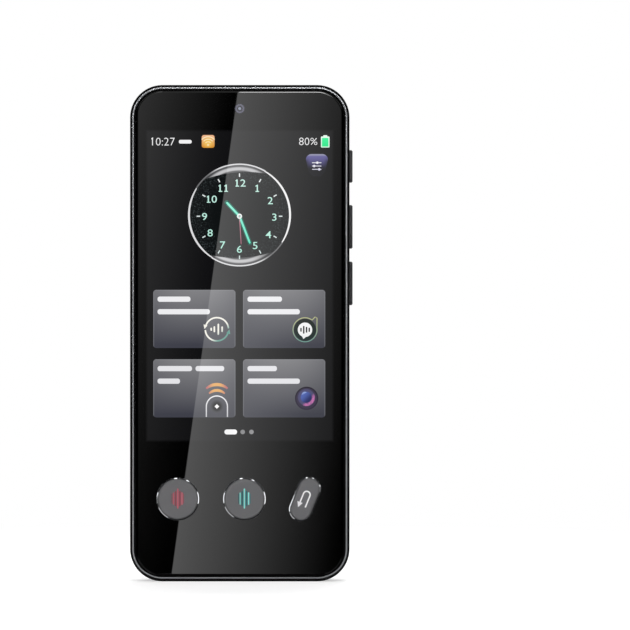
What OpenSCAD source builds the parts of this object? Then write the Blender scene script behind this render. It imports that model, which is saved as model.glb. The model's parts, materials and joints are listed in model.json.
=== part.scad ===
// Handheld translator: a slim slab with a glass front, three front keys, three side keys,
// a rear camera and a loudspeaker that sounds through the back. Millimetres.
//
// Pieces are drawn lying on the back: x runs to the right seen from the front, y runs up the
// slab from its bottom edge, z runs from the back face to the glass. stand() then sets the
// slab upright on its bottom edge with the glass facing -Y.

/* [Body] */
// Width across the sides
body_w = 61; // [56:0.5:66]
// Height from the bottom edge to the top edge
body_h = 138; // [126:0.5:150]
// Thickness from the back face to the glass
body_t = 12.6; // [12.4:0.1:14]
// Corner radius seen from the front
corner_r = 9; // [8:0.5:10]

/* [Front frame] */
// Width of the land outside the bright ring
outer_land = 0.4; // [0.35:0.05:0.7]
// Width of the bright ring
ring_w = 0.45; // [0.3:0.05:0.7]
// Depth of the bright ring
ring_depth = 1; // [0.6:0.1:1.4]
// Width of the land between the bright ring and the glass
inner_land = 0.7; // [0.6:0.05:1]
// Chamfer on the outer edges
frame_chamfer = 0.25; // [0.1:0.05:0.3]
// Thickness of the shelf under the glass
shelf_t = 1.2; // [0.8:0.1:1.5]
// Width of the step that seats the mid plate
step_w = 0.9; // [0.6:0.1:1]
// Diameter of the screw bosses
boss_d = 3.4; // [3:0.1:3.6]

/* [Glass and screen] */
// Height of the glass above the rim
glass_proud = 0.4; // [0.2:0.05:0.6]
// Thickness of the glass
glass_t = 1.1; // [0.9:0.1:1.3]
// Radius of the softened edge of the glass
glass_edge_r = 0.45; // [0.2:0.05:0.7]
// Thickness of the adhesive tape under the glass
tape_t = 0.2; // [0.1:0.05:0.3]
// Distance from each side to the lit picture
picture_side = 4.58; // [4.3:0.02:5.5]
// Distance from the top edge down to the picture
picture_drop = 12.56; // [12:0.1:14]
// Distance from the bottom edge up to the picture
picture_rise = 39.04; // [38.6:0.02:41]
// Border of the screen beside the picture
screen_side = 1.58; // [1:0.1:1.8]
// Border of the screen above the picture
screen_top = 1.8; // [1:0.1:2]
// Border of the screen below the picture
screen_bottom = 6; // [5:0.1:6.2]
// Thickness of the touch sensor
sensor_t = 0.3; // [0.2:0.05:0.5]
// Thickness of the picture cell
cell_t = 1.2; // [0.9:0.1:1.4]
// Thickness of the backlight
backlight_t = 0.9; // [0.7:0.1:1.1]
// Thickness of the foam behind the backlight
foam_t = 0.3; // [0.25:0.05:0.5]

/* [Rear cover] */
// Wall of the cover
cover_t = 1.2; // [1:0.1:1.5]
// Depth of the rounded edge, from the back face to the frame
cover_depth = 4.2; // [3.8:0.1:4.6]
// Width of the rounded edge seen from behind
cover_edge = 7; // [6:0.1:7.3]
// Step from the frame's side in to the cover
cover_step = 0.5; // [0.2:0.05:0.6]
// Thickness of the lip that enters the frame
lip_t = 0.8; // [0.6:0.1:1]
// Height of the lip
lip_h = 1.6; // [1.2:0.1:1.8]
// Length of a snap ridge
snap_l = 5; // [3:0.5:7]
// Height of a snap ridge over the lip
snap_h = 0.35; // [0.2:0.05:0.5]

/* [Sound holes] */
// Distance from the top edge down to the middle row
grille_drop = 14.7; // [14:0.1:16]
// Number of rows
grille_rows = 5; // [3:2:5]
// Holes in the first row
grille_holes = 22; // [18:1:22]
// Blind holes at each end of a row
grille_blind = 4; // [2:1:6]
// Pitch along a row
grille_pitch = 1.975; // [1.7:0.005:2]
// Pitch from row to row
grille_row_pitch = 2.26; // [2:0.02:2.3]
// Diameter of a hole
grille_d = 1.25; // [0.8:0.05:1.4]
// Depth of a blind hole
blind_depth = 0.5; // [0.3:0.1:0.8]

/* [Loudspeaker] */
// Width of the speaker basket
speaker_w = 32; // [31:0.5:34]
// Height of the speaker basket
speaker_h = 13.5; // [13:0.1:13.8]
// Thickness of the speaker basket
speaker_t = 3.5; // [3.2:0.1:3.7]
// Thickness of the gasket in front of the speaker
speaker_gasket_t = 0.6; // [0.4:0.1:0.7]
// Thickness of the dust mesh
mesh_t = 0.1; // [0.1:0.05:0.2]
// Travel of the cone each way
cone_travel = 0.25; // [0.1:0.05:0.3]

/* [Rear camera] */
// Distance from the top edge down to the camera
camera_drop = 30.1; // [30:0.1:31]
// Width of the camera plate
camera_plate_w = 11.9; // [11:0.1:13]
// Height of the camera plate
camera_plate_h = 11.8; // [11:0.1:13]
// Corner radius of the camera plate
camera_plate_r = 3.2; // [2:0.1:4]
// Thickness of the camera plate
camera_plate_t = 0.7; // [0.6:0.05:0.8]
// Diameter of the window
camera_window_d = 5.8; // [5.6:0.1:6.2]
// Side of the square camera body
camera_body_w = 8.5; // [8:0.1:9]
// Diameter of the lens barrel
camera_barrel_d = 6; // [5:0.1:6.2]
// Focusing travel of the lens barrel
focus_travel = 0.25; // [0.1:0.05:0.4]

/* [Front camera] */
// Distance from the top edge down to the front camera
front_camera_drop = 6.6; // [6.4:0.1:6.8]
// Side of the square front camera body
front_camera_w = 5.6; // [5:0.1:5.8]
// Depth of the front camera
front_camera_t = 3.2; // [3:0.1:3.3]
// Diameter of the front lens barrel
front_barrel_d = 3.4; // [3:0.1:4]

/* [Front keys] */
// Height of the key row above the bottom edge
key_rise = 22.9; // [21:0.1:23]
// Place of the left key across the body
left_key_x = -17.2; // [-18:0.1:-16.5]
// Place of the middle key across the body
middle_key_x = 1.3; // [0.5:0.1:2]
// Place of the back key across the body
back_key_x = 18.1; // [17:0.1:19]
// Diameter of the round keys
round_key_d = 11.1; // [10:0.1:11.5]
// Length of the back key
back_key_l = 12; // [11:0.1:12.2]
// Width of the back key
back_key_w = 5.8; // [5:0.1:6.4]
// Lean of the back key to the right, in degrees
back_key_lean = 22; // [0:1:30]
// Height of the keys above the glass
key_proud = 0.45; // [0.3:0.05:0.8]
// Travel of the front keys
key_travel = 0.25; // [0.15:0.05:0.25]
// Wall of the bright ring round a key
key_ring_t = 0.25; // [0.2:0.05:0.4]
// Width of the flange that keeps a key in
key_flange = 0.8; // [0.5:0.1:0.9]

/* [Side keys] */
// Distance from the top edge down to the power key
power_key_drop = 22.4; // [22:0.1:23]
// Distance from the top edge down to the upper side key
upper_key_drop = 39.3; // [39:0.1:40]
// Distance from the top edge down to the lower side key
lower_key_drop = 55.1; // [55:0.1:57]
// Length of the power key
power_key_l = 9.1; // [8:0.1:10]
// Length of the two longer side keys
long_key_l = 12.2; // [11:0.1:12.5]
// Width of the side keys
side_key_w = 2.4; // [2:0.1:2.6]
// Height of the side keys above the frame
side_key_proud = 0.9; // [0.6:0.1:1.2]
// Distance of the side keys from the back face
side_key_z = 6.6; // [6.5:0.05:6.7]
// Travel of the side keys
side_key_travel = 0.25; // [0.15:0.05:0.25]

/* [Boards and battery] */
// Thickness of the mid plate
plate_t = 0.4; // [0.3:0.05:0.5]
// Thickness of both circuit boards
board_t = 0.8; // [0.6:0.1:1]
// Space between the mid plate and the main board
board_space = 2; // [1.9:0.1:2.1]
// Length of the main board
board_l = 43.5; // [43:0.5:44]
// Upper edge of the key board above the bottom edge
key_board_top = 28.5; // [28:0.1:28.7]
// Distance from each side to the battery
battery_side = 8.5; // [7.5:0.1:12.5]
// Thickness of the battery
battery_t = 6; // [4:0.1:6.2]
// Thread diameter of the screws
screw_d = 1.4; // [1.2:0.1:1.6]
// Head diameter of the screws
screw_head_d = 2.6; // [2.2:0.1:2.8]

/* [Charge socket, lanyard, microphone] */
// Width of the plug opening
socket_w = 8.34; // [8.3:0.01:8.4]
// Height of the plug opening
socket_h = 2.56; // [2.5:0.01:2.6]
// Wall of the socket
socket_wall = 0.3; // [0.2:0.05:0.35]
// Length of the socket
socket_l = 7.3; // [6.5:0.1:7.5]
// Place of the lanyard slot across the body
lanyard_x = 7; // [6:0.1:12]
// Height of the lanyard slot above the bottom edge
lanyard_rise = 3.34; // [3.2:0.02:4]
// Length of the lanyard slot
lanyard_l = 4.73; // [4:0.1:6]
// Width of the lanyard slot
lanyard_w = 2.25; // [1.8:0.05:2.4]
// Diameter of the post that the lanyard loops round
lanyard_post_d = 1.2; // [1:0.1:1.4]
// Place of the microphone across the body
mic_x = -12; // [-13:0.1:-9]
// Diameter of the microphone hole
mic_hole_d = 0.9; // [0.6:0.1:1]

/* [Card tray] */
// Distance from the top edge down to the middle of the tray
tray_drop = 34.5; // [34:0.1:35]
// Width of the tray blade
tray_w = 14; // [13.5:0.1:14.2]
// Thickness of the tray blade
tray_t = 0.8; // [0.7:0.05:0.85]
// Travel of the tray out of the body
tray_travel = 18.5; // [17:0.5:19]
// Length of the card pocket
card_l = 12.5; // [12.4:0.05:12.6]
// Width of the card pocket
card_w = 9; // [8.9:0.05:9.2]

/* [Fits] */
// Gap round the glass
glass_gap = 0.08; // [0.05:0.01:0.12]
// Gap round a piece that is glued or clipped in
seat_gap = 0.05; // [0.02:0.01:0.08]
// Gap between a key and its hole
key_gap = 0.1; // [0.08:0.01:0.15]
// Gap between the cover's lip and the frame
lip_gap = 0.1; // [0.05:0.01:0.15]
// Gap round the card tray
tray_gap = 0.1; // [0.08:0.01:0.12]
// Gap round the screen
screen_gap = 0.3; // [0.2:0.05:0.35]
// Gap that a moving piece keeps from what stops it
stop_gap = 0.05; // [0.02:0.01:0.08]

/* [Hidden] */
$fn = 64;

frame_black = [0.03, 0.03, 0.035];
cover_grey = [0.38, 0.38, 0.39];
key_grey = [0.4, 0.4, 0.41];
steel = [0.75, 0.75, 0.77];
bright = [0.85, 0.85, 0.87];
glass_black = [0.02, 0.02, 0.025];
board_green = [0.08, 0.3, 0.16];
flex_amber = [0.75, 0.45, 0.15];
chip_black = [0.1, 0.1, 0.11];
foam_dark = [0.15, 0.15, 0.16];
gold = [0.83, 0.66, 0.3];

over = 1; // how far a cut runs past a face
merge = 0.1; // how far joined shapes reach into each other
sliver = 0.01; // the same where the shapes are thin

// Heights of the layers above the back face
rim_z = body_t - glass_proud;
glass_z = body_t - glass_t;
shelf_top = glass_z - tape_t;
shelf_z = shelf_top - shelf_t;
cell_z = glass_z - sensor_t - cell_t;
light_z = cell_z - backlight_t;
plate_top = light_z - foam_t;
plate_z = plate_top - plate_t;
board_top = plate_z - board_space;
board_z = board_top - board_t;
key_board_z = plate_top - board_t;
rest_mid = (cover_depth + rim_z) / 2;

// Insets from the side of the body
frame_wall = outer_land + ring_w + inner_land;
lip_inset = frame_wall + lip_gap;
board_gap = 0.3; // between the main board and the cover's lip
board_inset = lip_inset + lip_t + board_gap;

// Screen
screen_w = body_w - 2 * picture_side + 2 * screen_side;
screen_y1 = body_h - picture_drop + screen_top;
screen_y0 = picture_rise - screen_bottom;
window_x = screen_w / 2 + screen_gap;
window_y0 = screen_y0 - screen_gap;
window_y1 = screen_y1 + screen_gap;
sensor_tab_x = [10, 16];
sensor_tab_l = 1;
sensor_low = 1; // how far the sensor stops short of the screen's lower edge
tab_side_gap = 0.5;
tab_end_gap = 0.4;
light_side = 0.1; // how far the backlight stops short of the cell at the sides,
light_low = 1; // at the lower edge
light_high = 0.5; // and at the upper edge
foam_side = 1;
foam_low = 2;
foam_high = 4;
foam_split = 15; // between the two foam sheets, for the screen's strip

// Rear cover
cover_r = corner_r - cover_step;
cover_w = body_w - 2 * cover_step;
cover_h = body_h - 2 * cover_step;
edge_arc_r = (pow(cover_edge, 2) + pow(cover_depth, 2)) / (2 * cover_depth);
snap_drop = 0.6; // from the top of the lip down to the middle of a snap
snap_z = cover_depth + lip_h - snap_drop;
snap_w = 0.5;
snap_root = 0.2; // how far a snap reaches into the lip
snap_corner = 13; // from the edge round the corner to a snap
snap_low_y = 27.6;
snap_key_gap = 13.32; // from the lower side key down to a snap
lip_root = 1;
notch_rise = 0.4;
notch_gap = 0.5;
key_notch_z = cover_depth + notch_rise;

// Front keys: place, length and width of each
key_x = [left_key_x, middle_key_x, back_key_x];
key_l = [round_key_d, round_key_d, back_key_l];
key_w = [round_key_d, round_key_d, back_key_w];
key_turn = 90 - back_key_lean;
key_bevel = 0.3;
key_flange_t = 0.6;
key_flange_z1 = shelf_z - stop_gap;
key_flange_z0 = key_flange_z1 - key_flange_t;
dome_h = key_travel + stop_gap;
dome_top = plate_top + dome_h;
dome_d = 5;
dome_sheet = 0.1;
dome_crown = 0.45; // share of the base that the flat top takes
plunger_d = 2.2;
plunger_gap = 0.02;
key_ring_proud = 0.15; // height of the rings over the glass

// Side keys: place and length of each
side_y = [body_h - power_key_drop, body_h - upper_key_drop, body_h - lower_key_drop];
side_l = [power_key_l, long_key_l, long_key_l];
wall_in_x = body_w / 2 - frame_wall;
side_flange = 0.4;
side_flange_t = 0.5;
side_flange_x1 = wall_in_x - stop_gap;
side_flange_x0 = side_flange_x1 - side_flange_t;
side_plunger_l = 0.5;
side_plunger_d = 1.6;
side_dome_h = side_key_travel + stop_gap;
side_dome_d = 2.6;
side_flex_t = 0.15;
side_flex_w = 2.9;
side_flex_edge = 0.4; // how far the strip stops short of the tab's ends
side_flex_x1 = side_flange_x0 - side_plunger_l - side_dome_h;
tab_x1 = side_flex_x1 - side_flex_t;
tab_x0 = tab_x1 - plate_t;
tab_reach = 1.2; // how far the tab runs past the outer keys
tab_y0 = side_y[2] - long_key_l / 2 - tab_reach;
tab_y1 = side_y[0] + power_key_l / 2 + tab_reach;
tab_z0 = side_key_z - 1.6;
side_flex_z0 = tab_z0 + 0.2;
tail_w = 3;
tail_gap = 0.3;
tail_y0 = side_y[1] + long_key_l / 2 + 0.8;
tail_y1 = tail_y0 + tail_w;
snap_side_y = [snap_low_y, side_y[2] - long_key_l / 2 - snap_key_gap, body_h - snap_corner];
snap_end_x = [snap_corner - body_w / 2, body_w / 2 - snap_corner];

// Boards
board_y1 = body_h - 3.5;
board_y0 = board_y1 - board_l;
board_x0 = 3.3 - body_w / 2;
board_x1 = tab_x0 - 0.35;
plate_y0 = key_board_top + 0.5;
key_board_y0 = 3.2;
plate_gap = 0.1;
screw_gap = 0.02;
screw_head_t = 0.6;
screw_pass_d = screw_d + 0.2;
thread_merge = 0.1; // how far a thread reaches into its head
thread_end_gap = 0.2;
standoff_d = 3;
standoff_end_gap = 0.3;
lower_boss_x = body_w / 2 - 8.5;
upper_boss_x = body_w / 2 - 16.5;
corner_boss_x = body_w / 2 - 6.5;
lower_boss_y = 9.5;
key_board_screws = [for (side = [-1, 1]) [side * lower_boss_x, lower_boss_y]];
plate_screws = [
  for (side = [-1, 1]) [side * lower_boss_x, window_y0 - 1.8],
  for (side = [-1, 1]) [side * upper_boss_x, body_h - 5.5]
];
board_screws = [
  [board_x0 + 6.2, board_y0 + 1.8], [board_x1 - 8.2, board_y0 + 1.8],
  for (side = [-1, 1]) [side * corner_boss_x, board_y1 - 4]
];
frame_thread_top = shelf_top - 0.4;
flex_t = 0.15;

// Plugs of the strips on the main board
connector_t = 0.9;
connector_top = board_top + connector_t;
plug_w = 2.5;
lcd_flex_x = [-6, 6];
lcd_flex_y0 = screen_y0 - flex_t;
lcd_flex_y1 = board_y0 + 5;
lcd_flex_end = 4; // length of the strip's end on the board
lcd_flex_lap = 0.2; // how far down the cell's edge the strip starts
flex_slot_gap = 0.6;
lcd_plug = [10, 1.3]; // length, and how far in the strip the plug starts
touch_flex_y0 = window_y1 + 0.1;
touch_flex_y1 = window_y1 + sensor_tab_l;
touch_flex_end = 2;
camera_flex_w = 6;
camera_plug_l = 6.8;
camera_connector_x = [8.5, 8.5 + plug_w];
front_flex_w = 4;
front_flex_edge = 0.5;
front_flex_gap = 1.2; // from the front camera down to its strip
front_plug_l = 5;
front_connector_y = [board_y0 + 33, board_y0 + 33 + plug_w];
link_x = [board_x1 - 3.1, board_x1 - 0.5];
link_connector_y = [board_y0 + 1.5, board_y0 + 1.5 + plug_w];
link_lap = 6; // length of the strip on the key board
link_edge = 0.5; // how far in the mid plate the strip steps up
side_connector_x = [board_x1 - 7.2, board_x1 - 7.2 + plug_w];
battery_connector_x = [board_x0 + 10.2, board_x0 + 16.2];
battery_connector_y = [board_y0 + 1, board_y0 + 3.6];

// Shield cans: low and high corner of each
can_t = 1.4;
can_wall = 0.2;
cans = [
  [[camera_connector_x[0] - 0.5, board_y0 + 4.5], [board_x1 - 5.7, board_y0 + 12]],
  [[camera_connector_x[1] + 1.5, board_y0 + 20], [board_x1 - 1.7, board_y0 + 33]],
  [[board_x0 + 1.7, board_y0 + 22.5], [-4, board_y0 + 36]]
];
chip_inset = [1.2, 1];
chip_far_inset = [2, 1];
chip_t = 0.9;

// Battery bay
battery_w = body_w - 2 * battery_side;
battery_y0 = plate_y0 + 4.5;
battery_r = 1.5;
terrace_l = 1.8;
terrace_side = 2;
terrace_low = 2.8;
terrace_high = 0.4;
battery_y1 = board_y0 - 3.5;
battery_tape_t = 0.2;
tape_inset = 4;
battery_z1 = plate_z - battery_tape_t;
lead_d = 1;
lead_pitch = 1.6;
lead_mid_x = (battery_connector_x[0] + battery_connector_x[1]) / 2;
lead_z = board_top + lead_d / 2;
cable_x = board_x0 + 1.7;
cable_d = 0.8;
cable_plug_d = 2;
cable_plug_reach = 0.5; // how far a plug reaches past the cable's middle
cable_z = board_top + 1.1;
cable_y0 = key_board_top - 2.5;
cable_y1 = board_y0 + 2;

// Rear camera
camera_y = body_h - camera_drop;
camera_boss_d = 7;
camera_aperture_d = 4.9;
camera_dish_d = 10.4;
camera_dish_depth = 0.4;
window_t = 0.5;
window_z = camera_dish_depth + 0.1;
camera_gasket_t = 0.5;
gasket_inset = 0.15;
gasket_bore = camera_aperture_d + 0.7;
camera_cutout_gap = 0.4;
camera_z0 = cover_t + camera_gasket_t;
camera_z1 = connector_top;
camera_bore_z1 = camera_z0 + 3.9;
barrel_t = 2.6;
barrel_rest = 0.35; // how far the barrel stays inside the body when it is out
barrel_gap = 0.08;
barrel_rim_w = 1;
barrel_rim_t = 0.3;
barrel_bowl_t = 0.7;
barrel_bowl_d = [2.8, 1.4]; // at the front and at the bottom

// Front camera
front_camera_y = body_h - front_camera_drop;
front_camera_z0 = shelf_top - front_camera_t;
front_barrel_t = 1.2;
front_bowl_t = 0.4;
front_bowl_d = 1.2;
front_barrel_wall = 0.4;
front_bay_gap = 0.3;

// Loudspeaker
speaker_y = body_h - grille_drop;
speaker_r = 4;
speaker_z0 = cover_t + mesh_t + speaker_gasket_t;
speaker_z1 = speaker_z0 + speaker_t;
speaker_rim = 1.2;
speaker_shelf = 1;
speaker_front_t = 0.8;
bay_w = 20;
bay_h = 9.4;
bay_z = speaker_z0 + 1.5;
surround_w = 1.6;
surround_t = 0.1;
cone_t = 0.25;
yoke_t = 0.4;
pole_w = 14;
pole_h = 5;
pole_sink = 0.2;
coil_gap = 0.4;
coil_t = 0.5;
coil_end_gap = 0.25;
pocket_wall = 0.8;
pocket_h = 1.4;

// Charge socket, microphone, antenna
socket_z = plate_top - socket_wall - socket_h / 2;
socket_y0 = 0.6;
socket_y1 = socket_y0 + socket_l;
socket_back = 0.6;
tongue_w = 6.69;
tongue_t = 0.7;
tongue_y0 = 1.9;
tongue_base = 1;
wing_y = [4, 7];
wing_w = 1.2;
mic_size = [3.76, 2.95, 1.1];
mic_y = 7.7;
mic_z0 = key_board_z - mic_size.z;
boot_w = 4.6;
boot_back = 1.8; // how far the boot runs past the microphone's middle
boot_t = 1;
duct_d = 0.6;
carrier_side = 8.5;
carrier_y = [11, 27];
carrier_w = body_w - 2 * carrier_side;
carrier_t = 3;
carrier_wall = 0.8;
antenna_t = 0.15;
antenna_edge = 1;
antenna_run = [3, 4]; // widths of its lower and its upper run
antenna_end = 6; // how far the upper run stops short

// Lanyard slot
lanyard_depth = cover_depth + 0.1;
lanyard_wall = 0.6;
lanyard_post_z = cover_depth - 1.3;
lanyard_top = 2; // how far the pocket may rise over the cover's rim

// Card tray
tray_y = body_h - tray_drop;
sim_floor = 0.25;
tray_z0 = board_top + sim_floor + tray_gap;
tray_z1 = tray_z0 + tray_t;
tray_mid_z = (tray_z0 + tray_z1) / 2;
tray_keep = 1.2; // length of the blade that stays in the frame
tray_l = tray_travel + tray_keep;
tray_head_t = 1.2;
tray_head_h = 2.2;
tray_head_w = tray_w + 1.2;
tray_x0 = -body_w / 2 + tray_head_t;
tray_rim = 1.5; // round the card pocket and its window
card_floor = 0.2;
tray_nick = [2, 0.6, 0.5]; // length, width and depth of the nick for a fingernail
tray_nick_in = 1.4;
sim_x = [board_x0 + 0.2, tray_x0 + tray_l + 1.6];
sim_side = 0.5;

// ---- Shapes that repeat ----

// Sets a lying piece upright, with the middle of the resting edge at the origin
module stand() {
  translate([0, rest_mid, 0]) rotate([90, 0, 0]) children();
}

// Box from its low corner to its high corner
module block(low, high) {
  translate(low) cube(high - low);
}

// Rectangle with round corners, centred
module rounded(w, h, r) {
  square([w - 2 * r, h], center = true);
  square([w, h - 2 * r], center = true);
  for (x = [-1, 1], y = [-1, 1])
    translate([x * (w / 2 - r), y * (h / 2 - r)]) circle(r);
}

// Pill outline l long along x and w wide, or a circle where both are the same
module pill(l, w) {
  if (l > w) {
    square([l - w, w], center = true);
    for (side = [-1, 1]) translate([side * (l - w) / 2, 0]) circle(d = w);
  } else circle(d = w);
}

// Slab of a centred outline between two heights
module slab(z0, z1) {
  translate([0, 0, z0]) linear_extrude(z1 - z0) children();
}

// Outline of the body, moved inward
module body_plan(inset) {
  translate([0, body_h / 2])
    rounded(body_w - 2 * inset, body_h - 2 * inset, corner_r - inset);
}

// Outline drawn over y and z, extruded from x0 to x1
module across(x0, x1) {
  translate([x0, 0, 0]) rotate([90, 0, 90]) linear_extrude(x1 - x0) children();
}

// Solid w by h with corner radius r, whose edge all round has the child's section. The
// section's x counts outward from the centre of the corner round, and its y is the height.
module edged(w, h, r) {
  for (k = [0:3]) {
    side_x = (k == 0 || k == 3) ? 1 : -1;
    side_y = k < 2 ? 1 : -1;
    translate([side_x * (w / 2 - r), side_y * (h / 2 - r), 0])
      rotate([0, 0, 90 * k]) rotate_extrude(angle = 90) children();
  }
  for (turn = [0, 180]) {
    rotate([0, 0, turn]) translate([w / 2 - r, h / 2 - r, 0])
      rotate([90, 0, 0]) linear_extrude(h - 2 * r) children();
    rotate([0, 0, turn + 90]) translate([h / 2 - r, w / 2 - r, 0])
      rotate([90, 0, 0]) linear_extrude(w - 2 * r) children();
  }
}

// The middle that closes an edged solid between two heights
module core(w, h, r, z0, z1) {
  block([-(w / 2 - r), -(h / 2 - r), z0], [w / 2 - r, h / 2 - r, z1]);
}

// Pill-shaped solid with a bevelled upper edge
module bevelled_pill(l, w, z0, z1, bevel) {
  for (side = l > w ? [-1, 1] : [0]) translate([side * (l - w) / 2, 0, 0]) {
    translate([0, 0, z0]) cylinder(d = w, h = z1 - z0 - bevel);
    translate([0, 0, z1 - bevel]) cylinder(d1 = w, d2 = w - 2 * bevel, h = bevel);
  }
  if (l > w) across(-(l - w) / 2, (l - w) / 2) polygon([
    [-w / 2, z0], [w / 2, z0], [w / 2, z1 - bevel], [w / 2 - bevel, z1],
    [bevel - w / 2, z1], [-w / 2, z1 - bevel]
  ]);
}

// Thin sprung dome of base diameter d and height h
module snap_dome(d, h) {
  difference() {
    cylinder(d1 = d, d2 = dome_crown * d, h = h);
    translate([0, 0, -dome_sheet]) cylinder(d1 = d, d2 = dome_crown * d, h = h);
  }
}

// Rectangular ring between two rounded outlines
module rounded_ring(w, h, r, wall) {
  difference() {
    rounded(w, h, r);
    rounded(w - 2 * wall, h - 2 * wall, r - wall);
  }
}

// Outline of front key i, grown all round
module key_plan(i, grow) {
  translate([key_x[i], key_rise]) rotate([0, 0, key_turn])
    pill(key_l[i] + 2 * grow, key_w[i] + 2 * grow);
}

// Outline of side key i over y and z, grown all round
module side_key_plan(i, grow) {
  translate([side_y[i], side_key_z]) pill(side_l[i] + 2 * grow, side_key_w + 2 * grow);
}

// ---- Front frame, glass and screen ----

// Bright ring and its groove, grown by a gap at both sides
module ring_band(z0, z1, gap) {
  translate([0, body_h / 2, 0]) edged(body_w, body_h, corner_r)
    polygon([
      [corner_r - outer_land - ring_w - gap, z0], [corner_r - outer_land + gap, z0],
      [corner_r - outer_land + gap, z1], [corner_r - outer_land - ring_w - gap, z1]
    ]);
}

module frame_blank() {
  translate([0, body_h / 2, 0]) {
    edged(body_w, body_h, corner_r) polygon([
      [0, cover_depth], [corner_r - frame_chamfer, cover_depth],
      [corner_r, cover_depth + frame_chamfer], [corner_r, rim_z - frame_chamfer],
      [corner_r - frame_chamfer, rim_z], [0, rim_z]
    ]);
    core(body_w, body_h, corner_r, cover_depth, rim_z);
  }
}

// Window in the shelf for the screen, with a bay for the touch sensor's tail
module screen_window(z0, z1, grow) {
  block([-window_x - grow, window_y0 - grow, z0], [window_x + grow, window_y1 + grow, z1]);
  block([sensor_tab_x[0] - tab_side_gap - grow, window_y1 - over, z0],
    [sensor_tab_x[1] + tab_side_gap + grow, touch_flex_y1 + tab_end_gap + grow, z1]);
}

module front_camera_bay(z0, z1, gap) {
  half = front_camera_w / 2 + gap;
  block([-half, front_camera_y - half, z0], [half, front_camera_y + half, z1]);
}

module frame_inside_cuts() {
  slab(cover_depth - over, plate_top) body_plan(frame_wall);
  slab(plate_top - over, shelf_z) body_plan(frame_wall + step_w);
  slab(shelf_top, body_t + over) body_plan(frame_wall);
  screen_window(shelf_z - over, shelf_top + over, 0);
  front_camera_bay(shelf_z - over, shelf_top + over, seat_gap);
  slab(shelf_z - over, shelf_top + over) for (i = [0:2]) key_plan(i, key_gap);
}

module frame_side_cuts() {
  across(0, body_w) for (i = [0:2]) side_key_plan(i, key_gap);
  translate([0, frame_wall + over, socket_z]) rotate([90, 0, 0])
    linear_extrude(frame_wall + 2 * over)
      pill(socket_w + 2 * socket_wall + 2 * key_gap, socket_h + 2 * socket_wall + 2 * key_gap);
  translate([mic_x, frame_wall + over, mic_z0 - boot_t / 2]) rotate([90, 0, 0])
    cylinder(d = mic_hole_d, h = frame_wall + 2 * over);
  across(-body_w / 2 - over, tray_x0 + stop_gap) translate([tray_y, tray_mid_z])
    pill(tray_head_w + 2 * tray_gap, tray_head_h + 2 * tray_gap);
  block([-body_w / 2 - over, tray_y - tray_w / 2 - tray_gap, tray_z0 - tray_gap],
    [-body_w / 2 + frame_wall + over, tray_y + tray_w / 2 + tray_gap, tray_z1 + tray_gap]);
}

// Ridges on the cover's lip, or the pockets for them in the frame
module snaps(gap) {
  l = snap_l + 2 * gap;
  out = frame_wall - snap_h + lip_gap - gap;
  z0 = snap_z - snap_w / 2 - gap;
  z1 = snap_z + snap_w / 2 + gap;
  inner = lip_inset + snap_root;
  for (side = [-1, 1]) {
    for (y = snap_side_y)
      block([side > 0 ? body_w / 2 - inner : out - body_w / 2, y - l / 2, z0],
        [side > 0 ? body_w / 2 - out : inner - body_w / 2, y + l / 2, z1]);
    for (x = snap_end_x)
      block([x - l / 2, side > 0 ? body_h - inner : out, z0],
        [x + l / 2, side > 0 ? body_h - out : inner, z1]);
  }
}

module front_frame() {
  stand() color(frame_black) difference() {
    union() {
      difference() {
        frame_blank();
        frame_inside_cuts();
        frame_side_cuts();
        snaps(seat_gap);
        ring_band(rim_z - ring_depth, rim_z + over, seat_gap);
      }
      for (p = concat(key_board_screws, plate_screws))
        translate([p.x, p.y, plate_top]) cylinder(d = boss_d, h = shelf_z - plate_top + merge);
    }
    for (p = concat(key_board_screws, plate_screws))
      translate([p.x, p.y, plate_top - over])
        cylinder(d = screw_d + 2 * screw_gap, h = frame_thread_top - plate_top + over);
  }
}

module bezel_ring() {
  stand() color(bright) ring_band(rim_z - ring_depth, rim_z, 0);
}

module cover_lens() {
  inset = frame_wall + glass_gap;
  w = body_w - 2 * inset;
  h = body_h - 2 * inset;
  r = corner_r - inset;
  stand() color(glass_black) difference() {
    translate([0, body_h / 2, 0]) {
      edged(w, h, r) {
        translate([0, glass_z]) square([r - glass_edge_r, glass_t]);
        translate([0, glass_z]) square([r, glass_t - glass_edge_r]);
        translate([r - glass_edge_r, body_t - glass_edge_r]) circle(glass_edge_r);
      }
      core(w, h, r, glass_z, body_t);
    }
    slab(glass_z - over, body_t + over)
      for (i = [0:2]) key_plan(i, key_gap + key_ring_t + seat_gap);
  }
}

module lens_tape() {
  stand() color(foam_dark) difference() {
    slab(shelf_top, glass_z) body_plan(frame_wall + 2 * glass_gap);
    screen_window(shelf_top - over, glass_z + over, seat_gap);
    slab(shelf_top - over, glass_z + over)
      for (i = [0:2]) key_plan(i, key_gap + key_ring_t + seat_gap);
    translate([0, front_camera_y, shelf_top - over])
      cylinder(d = front_barrel_d, h = tape_t + 2 * over);
  }
}

module touch_sensor() {
  stand() color(glass_black) {
    block([-screen_w / 2 + seat_gap, screen_y0 + sensor_low, glass_z - sensor_t],
      [screen_w / 2 - seat_gap, screen_y1, glass_z]);
    block([sensor_tab_x[0], screen_y1 - merge, glass_z - sensor_t],
      [sensor_tab_x[1], touch_flex_y1, glass_z]);
  }
}

module lcd_panel() {
  stand() color([0.1, 0.12, 0.2])
    block([-screen_w / 2, screen_y0, cell_z], [screen_w / 2, screen_y1, cell_z + cell_t]);
}

module backlight() {
  stand() color([0.9, 0.9, 0.92])
    block([-screen_w / 2 + light_side, screen_y0 + light_low, light_z],
      [screen_w / 2 - light_side, screen_y1 - light_high, cell_z]);
}

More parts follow.
